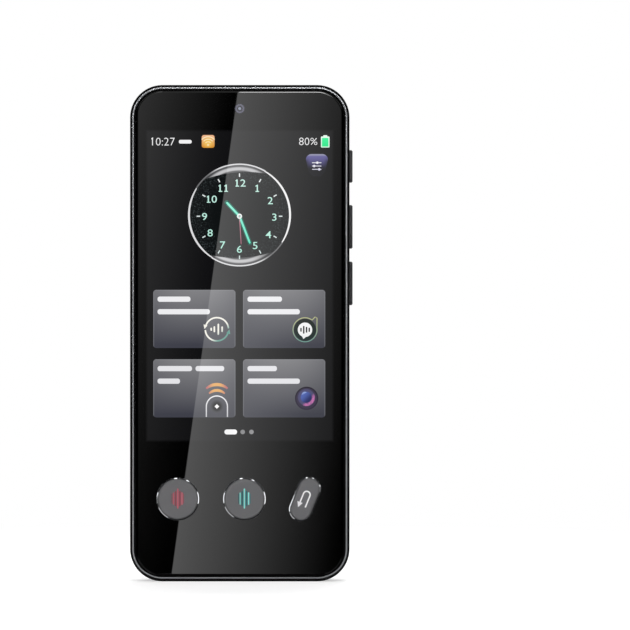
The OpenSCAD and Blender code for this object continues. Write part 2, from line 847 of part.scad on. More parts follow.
module lcd_foam() {
  stand() color(foam_dark) for (side = [-1, 1]) {
    x0 = side > 0 ? foam_split / 2 : -screen_w / 2 + foam_side;
    x1 = side > 0 ? screen_w / 2 - foam_side : -foam_split / 2;
    block([x0, screen_y0 + foam_low, plate_top], [x1, screen_y1 - foam_high, light_z]);
  }
}

// Strip of the screen: down its lower edge, up behind it, then through the mid plate
module lcd_flex() {
  stand() color(flex_amber) across(lcd_flex_x[0], lcd_flex_x[1]) polygon([
    [lcd_flex_y0, cell_z + cell_t - lcd_flex_lap], [screen_y0, cell_z + cell_t - lcd_flex_lap],
    [screen_y0, plate_top + flex_t], [lcd_flex_y1, plate_top + flex_t],
    [lcd_flex_y1, connector_top + flex_t], [lcd_flex_y1 + lcd_flex_end, connector_top + flex_t],
    [lcd_flex_y1 + lcd_flex_end, connector_top], [lcd_flex_y1 - flex_t, connector_top],
    [lcd_flex_y1 - flex_t, plate_top], [lcd_flex_y0, plate_top]
  ]);
}

// Strip of the touch sensor: down past the screen's upper edge to the main board
module touch_flex() {
  sensor_z = glass_z - sensor_t;
  stand() color(flex_amber) across(sensor_tab_x[0], sensor_tab_x[1]) polygon([
    [touch_flex_y0, sensor_z], [touch_flex_y1, sensor_z],
    [touch_flex_y1, connector_top], [touch_flex_y0 - touch_flex_end, connector_top],
    [touch_flex_y0 - touch_flex_end, connector_top + flex_t],
    [touch_flex_y1 - flex_t, connector_top + flex_t],
    [touch_flex_y1 - flex_t, sensor_z - flex_t], [touch_flex_y0, sensor_z - flex_t]
  ]);
}

// ---- Mid plate ----

module mid_plate() {
  stand() color(steel) difference() {
    union() {
      intersection() {
        slab(plate_z, plate_top) body_plan(frame_wall + plate_gap);
        block([-body_w / 2, plate_y0, plate_z], [body_w / 2, body_h, plate_top]);
      }
      block([tab_x0, tab_y0, tab_z0], [tab_x1, tab_y1, plate_top]);
      for (p = board_screws) translate([p.x, p.y, board_top])
        cylinder(d = standoff_d, h = board_space + plate_t / 2);
    }
    block([lcd_flex_x[0] - flex_slot_gap, lcd_flex_y1 - 2 * flex_slot_gap, plate_z - over],
      [lcd_flex_x[1] + flex_slot_gap, lcd_flex_y1 + flex_slot_gap, plate_top + over]);
    block([sensor_tab_x[0] - tab_side_gap, touch_flex_y0, plate_z - over],
      [sensor_tab_x[1] + tab_side_gap, touch_flex_y1 + tab_end_gap, plate_top + over]);
    front_camera_bay(plate_z - over, plate_top + over, front_bay_gap);
    block([tab_x0 - over, tail_y0 - tail_gap, board_top - tail_gap],
      [tab_x1 + over, tail_y1 + tail_gap, board_top + side_flex_t + tail_gap]);
    for (p = plate_screws) translate([p.x, p.y, plate_z - over])
      cylinder(d = screw_pass_d, h = plate_t + 2 * over);
    for (p = board_screws) translate([p.x, p.y, board_top - over])
      cylinder(d = screw_d + 2 * screw_gap, h = board_space + over);
  }
}

// ---- Rear cover ----

// Section of the cover's rounded edge, moved in by the given wall
module cover_section(wall, z1) {
  flat = cover_r - cover_edge;
  intersection() {
    translate([0, wall]) square([cover_r, z1 - wall]);
    union() {
      translate([0, wall]) square([flat, z1 - wall]);
      translate([flat, edge_arc_r]) circle(edge_arc_r - wall);
    }
  }
}

module cover_form(wall, z1) {
  translate([0, body_h / 2, 0]) {
    edged(cover_w, cover_h, cover_r) cover_section(wall, z1);
    core(cover_w, cover_h, cover_r, wall, z1);
  }
}

module cover_lip() {
  difference() {
    slab(cover_depth - lip_root, cover_depth + lip_h) difference() {
      body_plan(lip_inset);
      body_plan(lip_inset + lip_t);
    }
    for (i = [0:2]) {
      half = side_l[i] / 2 + side_flange + notch_gap;
      block([0, side_y[i] - half, key_notch_z],
        [body_w / 2, side_y[i] + half, cover_depth + lip_h + over]);
    }
    block([-socket_half - key_gap, 0, key_notch_z],
      [socket_half + key_gap, socket_y1, cover_depth + lip_h + over]);
  }
}

// Through holes in the middle of each row and blind ones at its ends
module sound_holes() {
  for (row = [0:grille_rows - 1]) {
    count = grille_holes + row % 2;
    row_y = speaker_y + ((grille_rows - 1) / 2 - row) * grille_row_pitch;
    for (i = [0:count - 1]) {
      open = i >= grille_blind && i < count - grille_blind;
      translate([(i - (count - 1) / 2) * grille_pitch, row_y, -over])
        cylinder(d = grille_d, h = over + (open ? cover_t + over : blind_depth), $fn = 24);
    }
  }
}

module lanyard_cut() {
  translate([lanyard_x, lanyard_rise, 0]) slab(-over, lanyard_depth) pill(lanyard_l, lanyard_w);
}

module lanyard_block() {
  half_x = lanyard_l / 2 + lanyard_wall;
  half_y = lanyard_w / 2 + lanyard_wall;
  intersection() {
    block([lanyard_x - half_x, lanyard_rise - half_y, 0],
      [lanyard_x + half_x, lanyard_rise + half_y, lanyard_depth + lanyard_wall]);
    union() {
      cover_form(0, cover_depth);
      slab(cover_depth - merge, cover_depth + lanyard_top) body_plan(lip_inset);
    }
  }
}

module lanyard_post() {
  half = lanyard_w / 2 + lanyard_wall / 2;
  translate([lanyard_x, lanyard_rise + half, lanyard_post_z]) rotate([90, 0, 0])
    cylinder(d = lanyard_post_d, h = 2 * half);
}

module rear_cover() {
  stand() color(cover_grey) union() {
    difference() {
      union() {
        difference() {
          cover_form(0, cover_depth);
          cover_form(cover_t, cover_depth + over);
        }
        cover_lip();
        snaps(0);
        lanyard_block();
        translate([0, speaker_y, 0]) slab(cover_t - merge, cover_t + pocket_h) rounded_ring(
          speaker_w + 2 * (seat_gap + pocket_wall), speaker_h + 2 * (seat_gap + pocket_wall),
          speaker_r + seat_gap + pocket_wall, pocket_wall);
      }
      lanyard_cut();
      sound_holes();
      translate([0, camera_y, 0]) {
        slab(-over, camera_plate_t) rounded(camera_plate_w + 2 * seat_gap,
          camera_plate_h + 2 * seat_gap, camera_plate_r + seat_gap);
        slab(0, cover_t + over) circle(d = camera_boss_d + 2 * seat_gap);
      }
    }
    lanyard_post();
  }
}

// ---- Rear camera ----

module camera_bezel() {
  stand() color(glass_black) translate([0, camera_y, 0]) difference() {
    union() {
      slab(0, camera_plate_t) rounded(camera_plate_w, camera_plate_h, camera_plate_r);
      slab(camera_plate_t - merge, cover_t) circle(d = camera_boss_d);
    }
    cylinder(d1 = camera_dish_d, d2 = camera_aperture_d, h = camera_dish_depth);
    slab(-over, cover_t + over) circle(d = camera_aperture_d);
    slab(window_z, cover_t + over) circle(d = camera_window_d + 2 * seat_gap);
  }
}

module camera_window() {
  stand() color([0.1, 0.1, 0.14]) translate([0, camera_y, window_z])
    cylinder(d = camera_window_d, h = window_t);
}

module camera_gasket() {
  stand() color(foam_dark) translate([0, camera_y, cover_t]) difference() {
    cylinder(d = camera_body_w - 2 * gasket_inset, h = camera_gasket_t);
    translate([0, 0, -over]) cylinder(d = gasket_bore, h = camera_gasket_t + 2 * over);
  }
}

module rear_camera_body() {
  half = camera_body_w / 2;
  stand() color(chip_black) translate([0, camera_y, 0]) difference() {
    block([-half, -half, camera_z0], [half, half, camera_z1]);
    slab(camera_z0 - over, camera_bore_z1) circle(d = camera_barrel_d + 2 * barrel_gap);
  }
}

// Lens barrel with a hollow front glass
module rear_camera_lens() {
  z0 = camera_z0 + focus_travel + barrel_rest;
  z1 = z0 + barrel_t;
  stand() color([0.05, 0.05, 0.08]) translate([0, camera_y, 0]) difference() {
    slab(z0, z1) circle(d = camera_barrel_d);
    translate([0, 0, z0 - over])
      cylinder(d = camera_barrel_d - 2 * barrel_rim_w, h = over + barrel_rim_t);
    translate([0, 0, z0 + barrel_rim_t - sliver])
      cylinder(d1 = barrel_bowl_d[0], d2 = barrel_bowl_d[1], h = barrel_bowl_t);
  }
}

module rear_camera_flex() {
  half = camera_flex_w / 2;
  stand() color(flex_amber) block([-half, camera_y - half, camera_z1],
    [camera_connector_x[1], camera_y + half, camera_z1 + flex_t]);
}

// ---- Front camera ----

module front_camera() {
  stand() color(chip_black) difference() {
    front_camera_bay(front_camera_z0, shelf_top, 0);
    translate([0, front_camera_y, shelf_top - front_barrel_t])
      cylinder(d = front_barrel_d + 2 * seat_gap, h = front_barrel_t + over);
  }
}

module front_camera_lens() {
  stand() color([0.05, 0.05, 0.08])
    translate([0, front_camera_y, shelf_top - front_barrel_t]) difference() {
      cylinder(d = front_barrel_d, h = front_barrel_t);
      translate([0, 0, front_barrel_t - front_bowl_t]) cylinder(
        d1 = front_bowl_d, d2 = front_barrel_d - 2 * front_barrel_wall, h = front_bowl_t + sliver);
    }
}

module front_camera_flex() {
  y1 = front_camera_y + front_camera_w / 2 - front_flex_edge;
  y0 = front_camera_y - front_camera_w / 2 - front_flex_gap;
  z1 = front_camera_z0;
  plug_y0 = front_connector_y[0];
  stand() color(flex_amber) across(-front_flex_w / 2, front_flex_w / 2) polygon([
    [y1, z1], [y0, z1], [y0, connector_top + flex_t], [plug_y0, connector_top + flex_t],
    [plug_y0, connector_top], [y0 + flex_t, connector_top],
    [y0 + flex_t, z1 - flex_t], [y1, z1 - flex_t]
  ]);
}

// ---- Loudspeaker ----

inner_w = speaker_w - 2 * speaker_rim;
inner_h = speaker_h - 2 * speaker_rim;
inner_r = speaker_r - speaker_rim;
surround_z0 = speaker_z0 + speaker_front_t - surround_t;
yoke_z0 = speaker_z1 - yoke_t;

module speaker_frame() {
  stand() color([0.2, 0.2, 0.21]) translate([0, speaker_y, 0]) difference() {
    slab(speaker_z0, speaker_z1) rounded(speaker_w, speaker_h, speaker_r);
    slab(speaker_z0 - over, speaker_z0 + speaker_front_t) rounded(inner_w, inner_h, inner_r);
    slab(speaker_z0, bay_z) rounded(inner_w - 2 * speaker_shelf, inner_h - 2 * speaker_shelf,
      inner_r - speaker_shelf);
    slab(bay_z - merge, speaker_z1 + over)
      square([bay_w + 2 * seat_gap, bay_h - 2 * speaker_shelf + 2 * seat_gap], center = true);
  }
}

// Yoke plate with the magnet on it
module speaker_magnet() {
  stand() color(steel) translate([0, speaker_y, 0]) {
    slab(yoke_z0, speaker_z1) square([bay_w, bay_h - 2 * speaker_shelf], center = true);
    slab(bay_z + pole_sink, yoke_z0) square([pole_w, pole_h], center = true);
  }
}

cone_w = inner_w - 2 * surround_w;
cone_h = inner_h - 2 * surround_w;

// Cone with the voice coil behind it
module speaker_cone() {
  stand() color([0.12, 0.12, 0.13]) translate([0, speaker_y, 0]) {
    slab(surround_z0, surround_z0 + cone_t) rounded(cone_w, cone_h, inner_r - surround_w);
    slab(surround_z0 + cone_t - sliver, yoke_z0 - cone_travel - coil_end_gap) difference() {
      square([pole_w + 2 * (coil_gap + coil_t), pole_h + 2 * (coil_gap + coil_t)], center = true);
      square([pole_w + 2 * coil_gap, pole_h + 2 * coil_gap], center = true);
    }
  }
}

module speaker_surround() {
  stand() color([0.05, 0.05, 0.05]) translate([0, speaker_y, 0])
    slab(surround_z0, surround_z0 + surround_t)
      rounded_ring(inner_w - 2 * seat_gap, inner_h - 2 * seat_gap, inner_r - seat_gap,
        surround_w - 2 * seat_gap);
}

module speaker_gasket() {
  stand() color(foam_dark) translate([0, speaker_y, 0])
    slab(cover_t + mesh_t, speaker_z0) rounded_ring(speaker_w, speaker_h, speaker_r, speaker_rim);
}

module speaker_mesh() {
  stand() color([0.1, 0.1, 0.1]) translate([0, speaker_y, 0])
    slab(cover_t, cover_t + mesh_t) rounded(speaker_w, speaker_h, speaker_r);
}

// ---- Main board ----

module main_board() {
  half = camera_body_w / 2 + camera_cutout_gap;
  stand() color(board_green) difference() {
    intersection() {
      slab(board_z, board_top) body_plan(board_inset);
      block([board_x0, board_y0, board_z], [board_x1, board_y1, board_top]);
    }
    block([-half, camera_y - half, board_z - over], [half, camera_y + half, board_top + over]);
    for (p = board_screws) translate([p.x, p.y, board_z - over])
      cylinder(d = screw_pass_d, h = board_t + 2 * over);
  }
}

module shield_cans() {
  stand() color(steel) for (can = cans) difference() {
    block([can[0].x, can[0].y, board_top], [can[1].x, can[1].y, board_top + can_t]);
    block([can[0].x + can_wall, can[0].y + can_wall, board_top - over],
      [can[1].x - can_wall, can[1].y - can_wall, board_top + can_t - can_wall]);
  }
}

// One large chip under each can
module board_chips() {
  stand() color(chip_black) for (can = cans) {
    low = can[0] + chip_inset;
    high = can[1] - chip_far_inset;
    block([low.x, low.y, board_top], [high.x, high.y, board_top + chip_t]);
  }
}

// Low and high corner of each plug on the main board
function plugs() = [
  [[-lcd_plug[0] / 2, lcd_flex_y1 + lcd_plug[1]],
    [lcd_plug[0] / 2, lcd_flex_y1 + lcd_plug[1] + plug_w]],
  [[camera_connector_x[0], camera_y - camera_plug_l / 2],
    [camera_connector_x[1], camera_y + camera_plug_l / 2]],
  [[-front_plug_l / 2, front_connector_y[0]], [front_plug_l / 2, front_connector_y[1]]],
  [[sensor_tab_x[0], touch_flex_y0 - touch_flex_end],
    [sensor_tab_x[1], touch_flex_y0 - touch_flex_end + plug_w]],
  [[link_x[0], link_connector_y[0]], [link_x[1], link_connector_y[1]]],
  [[battery_connector_x[0], battery_connector_y[0]],
    [battery_connector_x[1], battery_connector_y[1]]],
  [[side_connector_x[0], tail_y0 - tab_side_gap], [side_connector_x[1], tail_y1 + tab_side_gap]]
];

module board_connectors() {
  stand() color([0.85, 0.83, 0.75]) for (plug = plugs())
    block([plug[0].x, plug[0].y, board_top], [plug[1].x, plug[1].y, connector_top]);
}

// ---- Key board, charge socket, microphone, antenna ----

socket_half = socket_w / 2 + socket_wall;

module key_board() {
  stand() color(board_green) difference() {
    intersection() {
      slab(key_board_z, plate_top) body_plan(frame_wall + plate_gap);
      block([-body_w / 2, key_board_y0, key_board_z], [body_w / 2, key_board_top, plate_top]);
    }
    block([-socket_half - seat_gap, 0, key_board_z - over],
      [socket_half + seat_gap, socket_y1 + seat_gap, plate_top + over]);
    for (p = key_board_screws) translate([p.x, p.y, key_board_z - over])
      cylinder(d = screw_pass_d, h = board_t + 2 * over);
  }
}

// Pill-shaped length of the socket from y0 to y1
module socket_run(w, h, y0, y1) {
  translate([0, y1, socket_z]) rotate([90, 0, 0]) linear_extrude(y1 - y0) pill(w, h);
}

module charge_socket() {
  stand() color(steel) difference() {
    union() {
      socket_run(socket_w + 2 * socket_wall, socket_h + 2 * socket_wall, socket_y0, socket_y1);
      block([-socket_half - wing_w, wing_y[0], key_board_z - socket_wall],
        [socket_half + wing_w, wing_y[1], key_board_z]);
    }
    socket_run(socket_w, socket_h, socket_y0 - over, socket_y1 - socket_back);
  }
}

module socket_tongue() {
  base_y1 = socket_y1 - socket_back;
  stand() color(chip_black) {
    socket_run(socket_w - 2 * seat_gap, socket_h - 2 * seat_gap, base_y1 - tongue_base, base_y1);
    block([-tongue_w / 2, tongue_y0, socket_z - tongue_t / 2],
      [tongue_w / 2, base_y1 - tongue_base + merge, socket_z + tongue_t / 2]);
  }
}

module microphone() {
  stand() color(gold) block([mic_x - mic_size.x / 2, mic_y - mic_size.y / 2, mic_z0],
    [mic_x + mic_size.x / 2, mic_y + mic_size.y / 2, key_board_z]);
}

// Rubber block that ducts the sound from the hole in the frame to the microphone
module microphone_boot() {
  duct_z = mic_z0 - boot_t / 2;
  stand() color([0.08, 0.08, 0.08]) difference() {
    block([mic_x - boot_w / 2, frame_wall + lip_gap, mic_z0 - boot_t],
      [mic_x + boot_w / 2, mic_y + boot_back, mic_z0]);
    translate([mic_x, mic_y, duct_z]) rotate([90, 0, 0]) cylinder(d = duct_d, h = mic_y);
    translate([mic_x, mic_y, duct_z]) cylinder(d = duct_d, h = boot_t);
  }
}

// Moulded tray on the back of the key board that carries the antenna
module antenna_carrier() {
  stand() color([0.25, 0.25, 0.26]) difference() {
    block([-carrier_w / 2, carrier_y[0], key_board_z - carrier_t],
      [carrier_w / 2, carrier_y[1], key_board_z]);
    block([-carrier_w / 2 + carrier_wall, carrier_y[0] + carrier_wall,
      key_board_z - carrier_t + carrier_wall],
      [carrier_w / 2 - carrier_wall, carrier_y[1] - carrier_wall, key_board_z + over]);
  }
}

// Folded strip of copper film on the carrier
module cellular_antenna() {
  z1 = key_board_z - carrier_t;
  z0 = z1 - antenna_t;
  y0 = carrier_y[0] + antenna_edge;
  y1 = carrier_y[1] - antenna_edge;
  x = carrier_w / 2 - antenna_edge;
  w = antenna_run[0];
  stand() color(gold) {
    block([-x, y0, z0], [x, y0 + w, z1]);
    block([-x, y0 + w - sliver, z0], [w - x, y1, z1]);
    block([w - x - sliver, y1 - antenna_run[1], z0], [x - antenna_end, y1, z1]);
  }
}

module antenna_cable() {
  stand() color([0.12, 0.12, 0.12]) {
    translate([cable_x, cable_y0, cable_z]) rotate([-90, 0, 0])
      cylinder(d = cable_d, h = cable_y1 - cable_y0);
    translate([cable_x, cable_y0, cable_z - cable_plug_reach])
      cylinder(d = cable_plug_d, h = key_board_z - cable_z + cable_plug_reach);
    translate([cable_x, cable_y1, board_top])
      cylinder(d = cable_plug_d, h = cable_z - board_top + cable_plug_reach);
  }
}

// ---- Battery and strips ----

module battery() {
  stand() color([0.55, 0.57, 0.6]) {
    translate([0, (battery_y0 + battery_y1) / 2, 0])
      slab(battery_z1 - battery_t, battery_z1)
        rounded(battery_w, battery_y1 - battery_y0, battery_r);
    block([-battery_w / 2 + terrace_side, battery_y1 - merge, battery_z1 - terrace_low],
      [battery_w / 2 - terrace_side, battery_y1 + terrace_l, battery_z1 - terrace_high]);
  }
}

module battery_tape() {
  stand() color([0.9, 0.9, 0.85])
    block([tape_inset - battery_w / 2, battery_y0 + tape_inset, battery_z1],
      [battery_w / 2 - tape_inset, battery_y1 - tape_inset, plate_z]);
}

module battery_lead() {
  stand() color([0.6, 0.05, 0.05]) for (side = [-1, 1])
    translate([lead_mid_x + side * lead_pitch / 2, battery_y1 + terrace_l, lead_z]) rotate([-90, 0, 0])
      cylinder(d = lead_d, h = battery_connector_y[0] - battery_y1 - terrace_l);
}

// Strip from the back of the key board, under the mid plate, to the main board
module board_link_flex() {
  y0 = key_board_top - link_lap;
  y1 = plate_y0 + link_edge;
  y2 = link_connector_y[0];
  low = key_board_z - flex_t;
  high = plate_z - flex_t;
  stand() color(flex_amber) across(link_x[0], link_x[1]) polygon([
    [y0, low], [y0, key_board_z], [y1 - flex_t, key_board_z], [y1 - flex_t, plate_z],
    [y2, plate_z], [y2, connector_top + flex_t], [link_connector_y[1], connector_top + flex_t],
    [link_connector_y[1], connector_top], [y2 - flex_t, connector_top], [y2 - flex_t, high],
    [y1, high], [y1, low]
  ]);
}

module side_key_flex() {
  stand() color(flex_amber) {
    block([tab_x1, tab_y0 + side_flex_edge, side_flex_z0],
      [side_flex_x1, tab_y1 - side_flex_edge, side_flex_z0 + side_flex_w]);
    block([side_connector_x[1], tail_y0, board_top],
      [tab_x1 + side_flex_t / 2, tail_y1, board_top + side_flex_t]);
  }
}

// ---- Keys ----

// Front key i: cap, flange under the shelf and plunger over its dome
module front_key(i) {
  translate([key_x[i], key_rise, 0]) rotate([0, 0, key_turn]) {
    bevelled_pill(key_l[i], key_w[i], key_flange_z1 - merge, body_t + key_proud, key_bevel);
    slab(key_flange_z0, key_flange_z1) pill(key_l[i] + 2 * key_flange, key_w[i] + 2 * key_flange);
    slab(dome_top + plunger_gap, key_flange_z0 + merge) circle(d = plunger_d);
  }
}

module front_dome(i) {
  translate([key_x[i], key_rise, plate_top]) snap_dome(dome_d, dome_h);
}

module left_talk_key() { stand() color(key_grey) front_key(0); }
module middle_talk_key() { stand() color(key_grey) front_key(1); }
module back_key() { stand() color(key_grey) front_key(2); }
module left_key_dome() { stand() color(steel) front_dome(0); }
module middle_key_dome() { stand() color(steel) front_dome(1); }
module back_key_dome() { stand() color(steel) front_dome(2); }

module key_rings() {
  stand() color(bright) for (i = [0:2]) slab(shelf_top, body_t + key_ring_proud) difference() {
    key_plan(i, key_gap + key_ring_t);
    key_plan(i, key_gap);
  }
}

// Side key i: cap, flange behind the wall and plunger over its dome
module side_key(i) {
  face = body_w / 2 + side_key_proud;
  translate([0, side_y[i], side_key_z]) rotate([90, 0, 90]) {
    bevelled_pill(side_l[i], side_key_w, side_flange_x1 - merge, face, key_bevel);
    slab(side_flange_x0, side_flange_x1)
      pill(side_l[i] + 2 * side_flange, side_key_w + 2 * side_flange);
    slab(side_flange_x0 - side_plunger_l + plunger_gap, side_flange_x0 + merge)
      circle(d = side_plunger_d);
  }
}

module side_dome(i) {
  translate([side_flex_x1, side_y[i], side_key_z]) rotate([0, 90, 0])
    snap_dome(side_dome_d, side_dome_h);
}

module power_key() { stand() color(frame_black) side_key(0); }
module upper_side_key() { stand() color(frame_black) side_key(1); }
module lower_side_key() { stand() color(frame_black) side_key(2); }
module power_key_dome() { stand() color(steel) side_dome(0); }
module upper_key_dome() { stand() color(steel) side_dome(1); }
module lower_key_dome() { stand() color(steel) side_dome(2); }

// ---- Card tray ----

module sim_tray() {
  blade_x1 = tray_x0 + tray_l;
  card_x = blade_x1 - tray_rim - card_l;
  nick_y = tray_y + tray_head_w / 2 - tray_nick_in;
  stand() color(frame_black) difference() {
    union() {
      across(-body_w / 2, tray_x0) translate([tray_y, tray_mid_z]) pill(tray_head_w, tray_head_h);
      block([tray_x0 - merge, tray_y - tray_w / 2, tray_z0],
        [blade_x1, tray_y + tray_w / 2, tray_z1]);
    }
    block([card_x, tray_y - card_w / 2, tray_z0 + card_floor],
      [card_x + card_l, tray_y + card_w / 2, tray_z1 + over]);
    block([card_x + tray_rim, tray_y - card_w / 2 + tray_rim, tray_z0 - over],
      [card_x + card_l - tray_rim, tray_y + card_w / 2 - tray_rim, tray_z1 + over]);
    block([-body_w / 2 - over, nick_y - tray_nick[0], tray_mid_z - tray_nick[1] / 2],
      [tray_nick[2] - body_w / 2, nick_y, tray_mid_z + tray_nick[1] / 2]);
  }
}

module sim_socket() {
  half = tray_w / 2 + 2 * tray_gap;
  stand() color(steel) difference() {
    block([sim_x[0], tray_y - half - sim_side, board_top],
      [sim_x[1], tray_y + half + sim_side, tray_z1 + tray_gap + sim_floor]);
    block([sim_x[0] - over, tray_y - half, tray_z0 - tray_gap],
      [sim_x[1] - sim_side, tray_y + half, tray_z1 + tray_gap]);
  }
}

// ---- Screws ----

// Screw with its head's underside at z and its thread going up
module screw(p, z, l) {
  translate([p.x, p.y, z - screw_head_t]) cylinder(d = screw_head_d, h = screw_head_t);
  translate([p.x, p.y, z - thread_merge]) cylinder(d = screw_d, h = l + thread_merge);
}

module screws() {
  stand() color(steel) {
    for (p = key_board_screws)
      screw(p, key_board_z, frame_thread_top - thread_end_gap - key_board_z);
    for (p = plate_screws) screw(p, plate_z, frame_thread_top - thread_end_gap - plate_z);
    for (p = board_screws) screw(p, board_z, board_t + board_space - standoff_end_gap);
  }
}

front_frame();
bezel_ring();
cover_lens();
lens_tape();
touch_sensor();
lcd_panel();
backlight();
lcd_foam();
lcd_flex();
touch_flex();
mid_plate();
rear_cover();
camera_bezel();
camera_window();
camera_gasket();
rear_camera_body();
rear_camera_lens();
rear_camera_flex();
front_camera();
front_camera_lens();
front_camera_flex();
speaker_frame();
speaker_magnet();
speaker_cone();
speaker_surround();
speaker_gasket();
speaker_mesh();
main_board();
shield_cans();
board_chips();
board_connectors();
key_board();
charge_socket();
socket_tongue();
microphone();
microphone_boot();
antenna_carrier();
cellular_antenna();
antenna_cable();
battery();
battery_tape();
battery_lead();
board_link_flex();
side_key_flex();
power_key();
upper_side_key();
lower_side_key();
power_key_dome();
upper_key_dome();
lower_key_dome();
left_talk_key();
middle_talk_key();
back_key();
left_key_dome();
middle_key_dome();
back_key_dome();
key_rings();
sim_tray();
sim_socket();
screws();
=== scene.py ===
"""Handheld translator: studio, finishes, lit screen and printed key marks.

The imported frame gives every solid; this script dresses it.  Lengths are in
millimetres in the values below and become metres when a mesh is made.
"""
import json
import math

import bpy
import numpy as np
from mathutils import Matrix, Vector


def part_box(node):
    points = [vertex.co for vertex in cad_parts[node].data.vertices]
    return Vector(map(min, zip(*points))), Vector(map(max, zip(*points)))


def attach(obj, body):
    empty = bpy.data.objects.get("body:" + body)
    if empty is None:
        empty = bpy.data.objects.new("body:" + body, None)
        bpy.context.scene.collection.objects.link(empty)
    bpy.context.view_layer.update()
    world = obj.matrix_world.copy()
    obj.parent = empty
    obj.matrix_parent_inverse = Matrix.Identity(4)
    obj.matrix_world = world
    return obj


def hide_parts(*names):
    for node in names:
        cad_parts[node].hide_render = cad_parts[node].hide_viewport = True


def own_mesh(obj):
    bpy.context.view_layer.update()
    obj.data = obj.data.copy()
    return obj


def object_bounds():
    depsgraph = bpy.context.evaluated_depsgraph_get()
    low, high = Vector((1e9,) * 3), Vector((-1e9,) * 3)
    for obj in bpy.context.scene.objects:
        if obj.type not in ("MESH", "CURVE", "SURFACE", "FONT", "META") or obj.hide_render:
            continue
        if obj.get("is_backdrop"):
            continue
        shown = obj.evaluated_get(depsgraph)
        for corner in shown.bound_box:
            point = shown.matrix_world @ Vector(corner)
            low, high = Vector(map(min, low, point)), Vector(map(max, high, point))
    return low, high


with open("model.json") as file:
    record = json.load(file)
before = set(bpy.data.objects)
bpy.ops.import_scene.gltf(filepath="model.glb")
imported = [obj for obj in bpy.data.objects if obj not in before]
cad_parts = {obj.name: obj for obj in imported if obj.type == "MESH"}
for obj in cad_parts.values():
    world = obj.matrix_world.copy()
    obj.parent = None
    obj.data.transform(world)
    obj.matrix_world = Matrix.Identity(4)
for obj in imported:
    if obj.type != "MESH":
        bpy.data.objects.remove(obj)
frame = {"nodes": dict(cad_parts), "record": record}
cad_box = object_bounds()

MM = 0.001

# ---- places taken from the frame, in millimetres -------------------------------


def extent(node):
    """Lowest and highest corner of a node, as two arrays in mm."""
    return [np.array(tuple(corner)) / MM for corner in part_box(node)]


def middle_of(node):
    """The x and z of a node's middle."""
    low, high = extent(node)
    return (low + high)[[0, 2]] / 2


frame_low, frame_high = extent("front_frame")
lens_low, lens_high = extent("cover_lens")
glass_front = lens_low[1]
back_face = extent("rear_cover")[1][1]

# ---- places and sizes that finishes and rings follow ------------------------------

RIM_CORNER = 9.0
# The bright line round the front, the trim and a painted highlight on the frame's land
# beside it, runs between these depths inside the outline, fades over TRIM_FADE to
# either side, and lies a little deeper along the foot.
TRIM_BAND, TRIM_FADE, FOOT_TRIM_SHIFT = (0.68, 1.0), 0.05, 0.15

# The lanyard slot on the back, and the staggered rows of the sound grille.
SLOT_X, SLOT_Z, SLOT_LONG, SLOT_WIDE = 7.0, 3.34, 4.73, 2.25
GRILLE_HEIGHT, GRILLE_PITCH, GRILLE_ROW_PITCH = 123.3, 1.975, 2.26
GRILLE_HALF_WIDE, GRILLE_HALF_HIGH = 23.0, 6.6

SIDE_KEYS = ("power_key", "upper_side_key", "lower_side_key")
FRONT_KEYS = ("left_talk_key", "middle_talk_key", "back_key")
KEY_LEAN = math.radians(68.0)
# Key rings: their section, their radii, and half the straight length of the pill's.
RING_WIDTH, RING_SLOPE, RING_EDGE = 0.25, math.radians(24.0), 0.012
ROUND_RING, PILL_RING, PILL_REACH = 5.775, 3.125, 3.1
# Snap domes: the sheet, the flat share of the radius, and the play left when pressed.
DOME_SHEET, DOME_CROWN, DOME_SLACK, KEY_TRAVEL = 0.1, 0.35, 0.01, 0.25
CAMERA_RING, CAMERA_EYE = 2.6, 1.45

# ---- screen layout: the display's own dots, from its top left corner -----------

DOTS_ACROSS, DOTS_DOWN = 480, 800
DOT = 0.10774
SCREEN_LEFT = -DOTS_ACROSS * DOT / 2
SCREEN_TOP = 125.305
CLOCK_U, CLOCK_V, CLOCK_RADIUS, PIVOT_V = 239.4, 217.8, 131.0, 221.0
TILE_LEFT, TILE_TOP = (17.0, 248.5), (410.8, 589.8)
TILE_WIDE, TILE_HIGH = 212.0, 150.0

# Each layer of lit marks stands this far in front of the one below it, and all of
# them reach a little way into the glass, as printed marks do into their key.
LAYER, LIT_SUNK = 0.018, 0.004
MARK_HIGH, MARK_SUNK = 0.012, 0.01


# ---- shader maths --------------------------------------------------------------


def tint(colour):
    """A display colour of 0 to 255 as the linear one a shader takes; a link stays one."""
    if isinstance(colour, Value):
        return colour
    c = np.array(colour) / 255.0
    linear = np.where(c <= 0.04045, c / 12.92, ((c + 0.055) / 1.055) ** 2.4)
    return (*linear.tolist(), 1.0)


def diagonal(side, rise):
    """The length whose two sides are given: the root of the sum of their squares."""
    return (side * side + rise * rise) ** 0.5


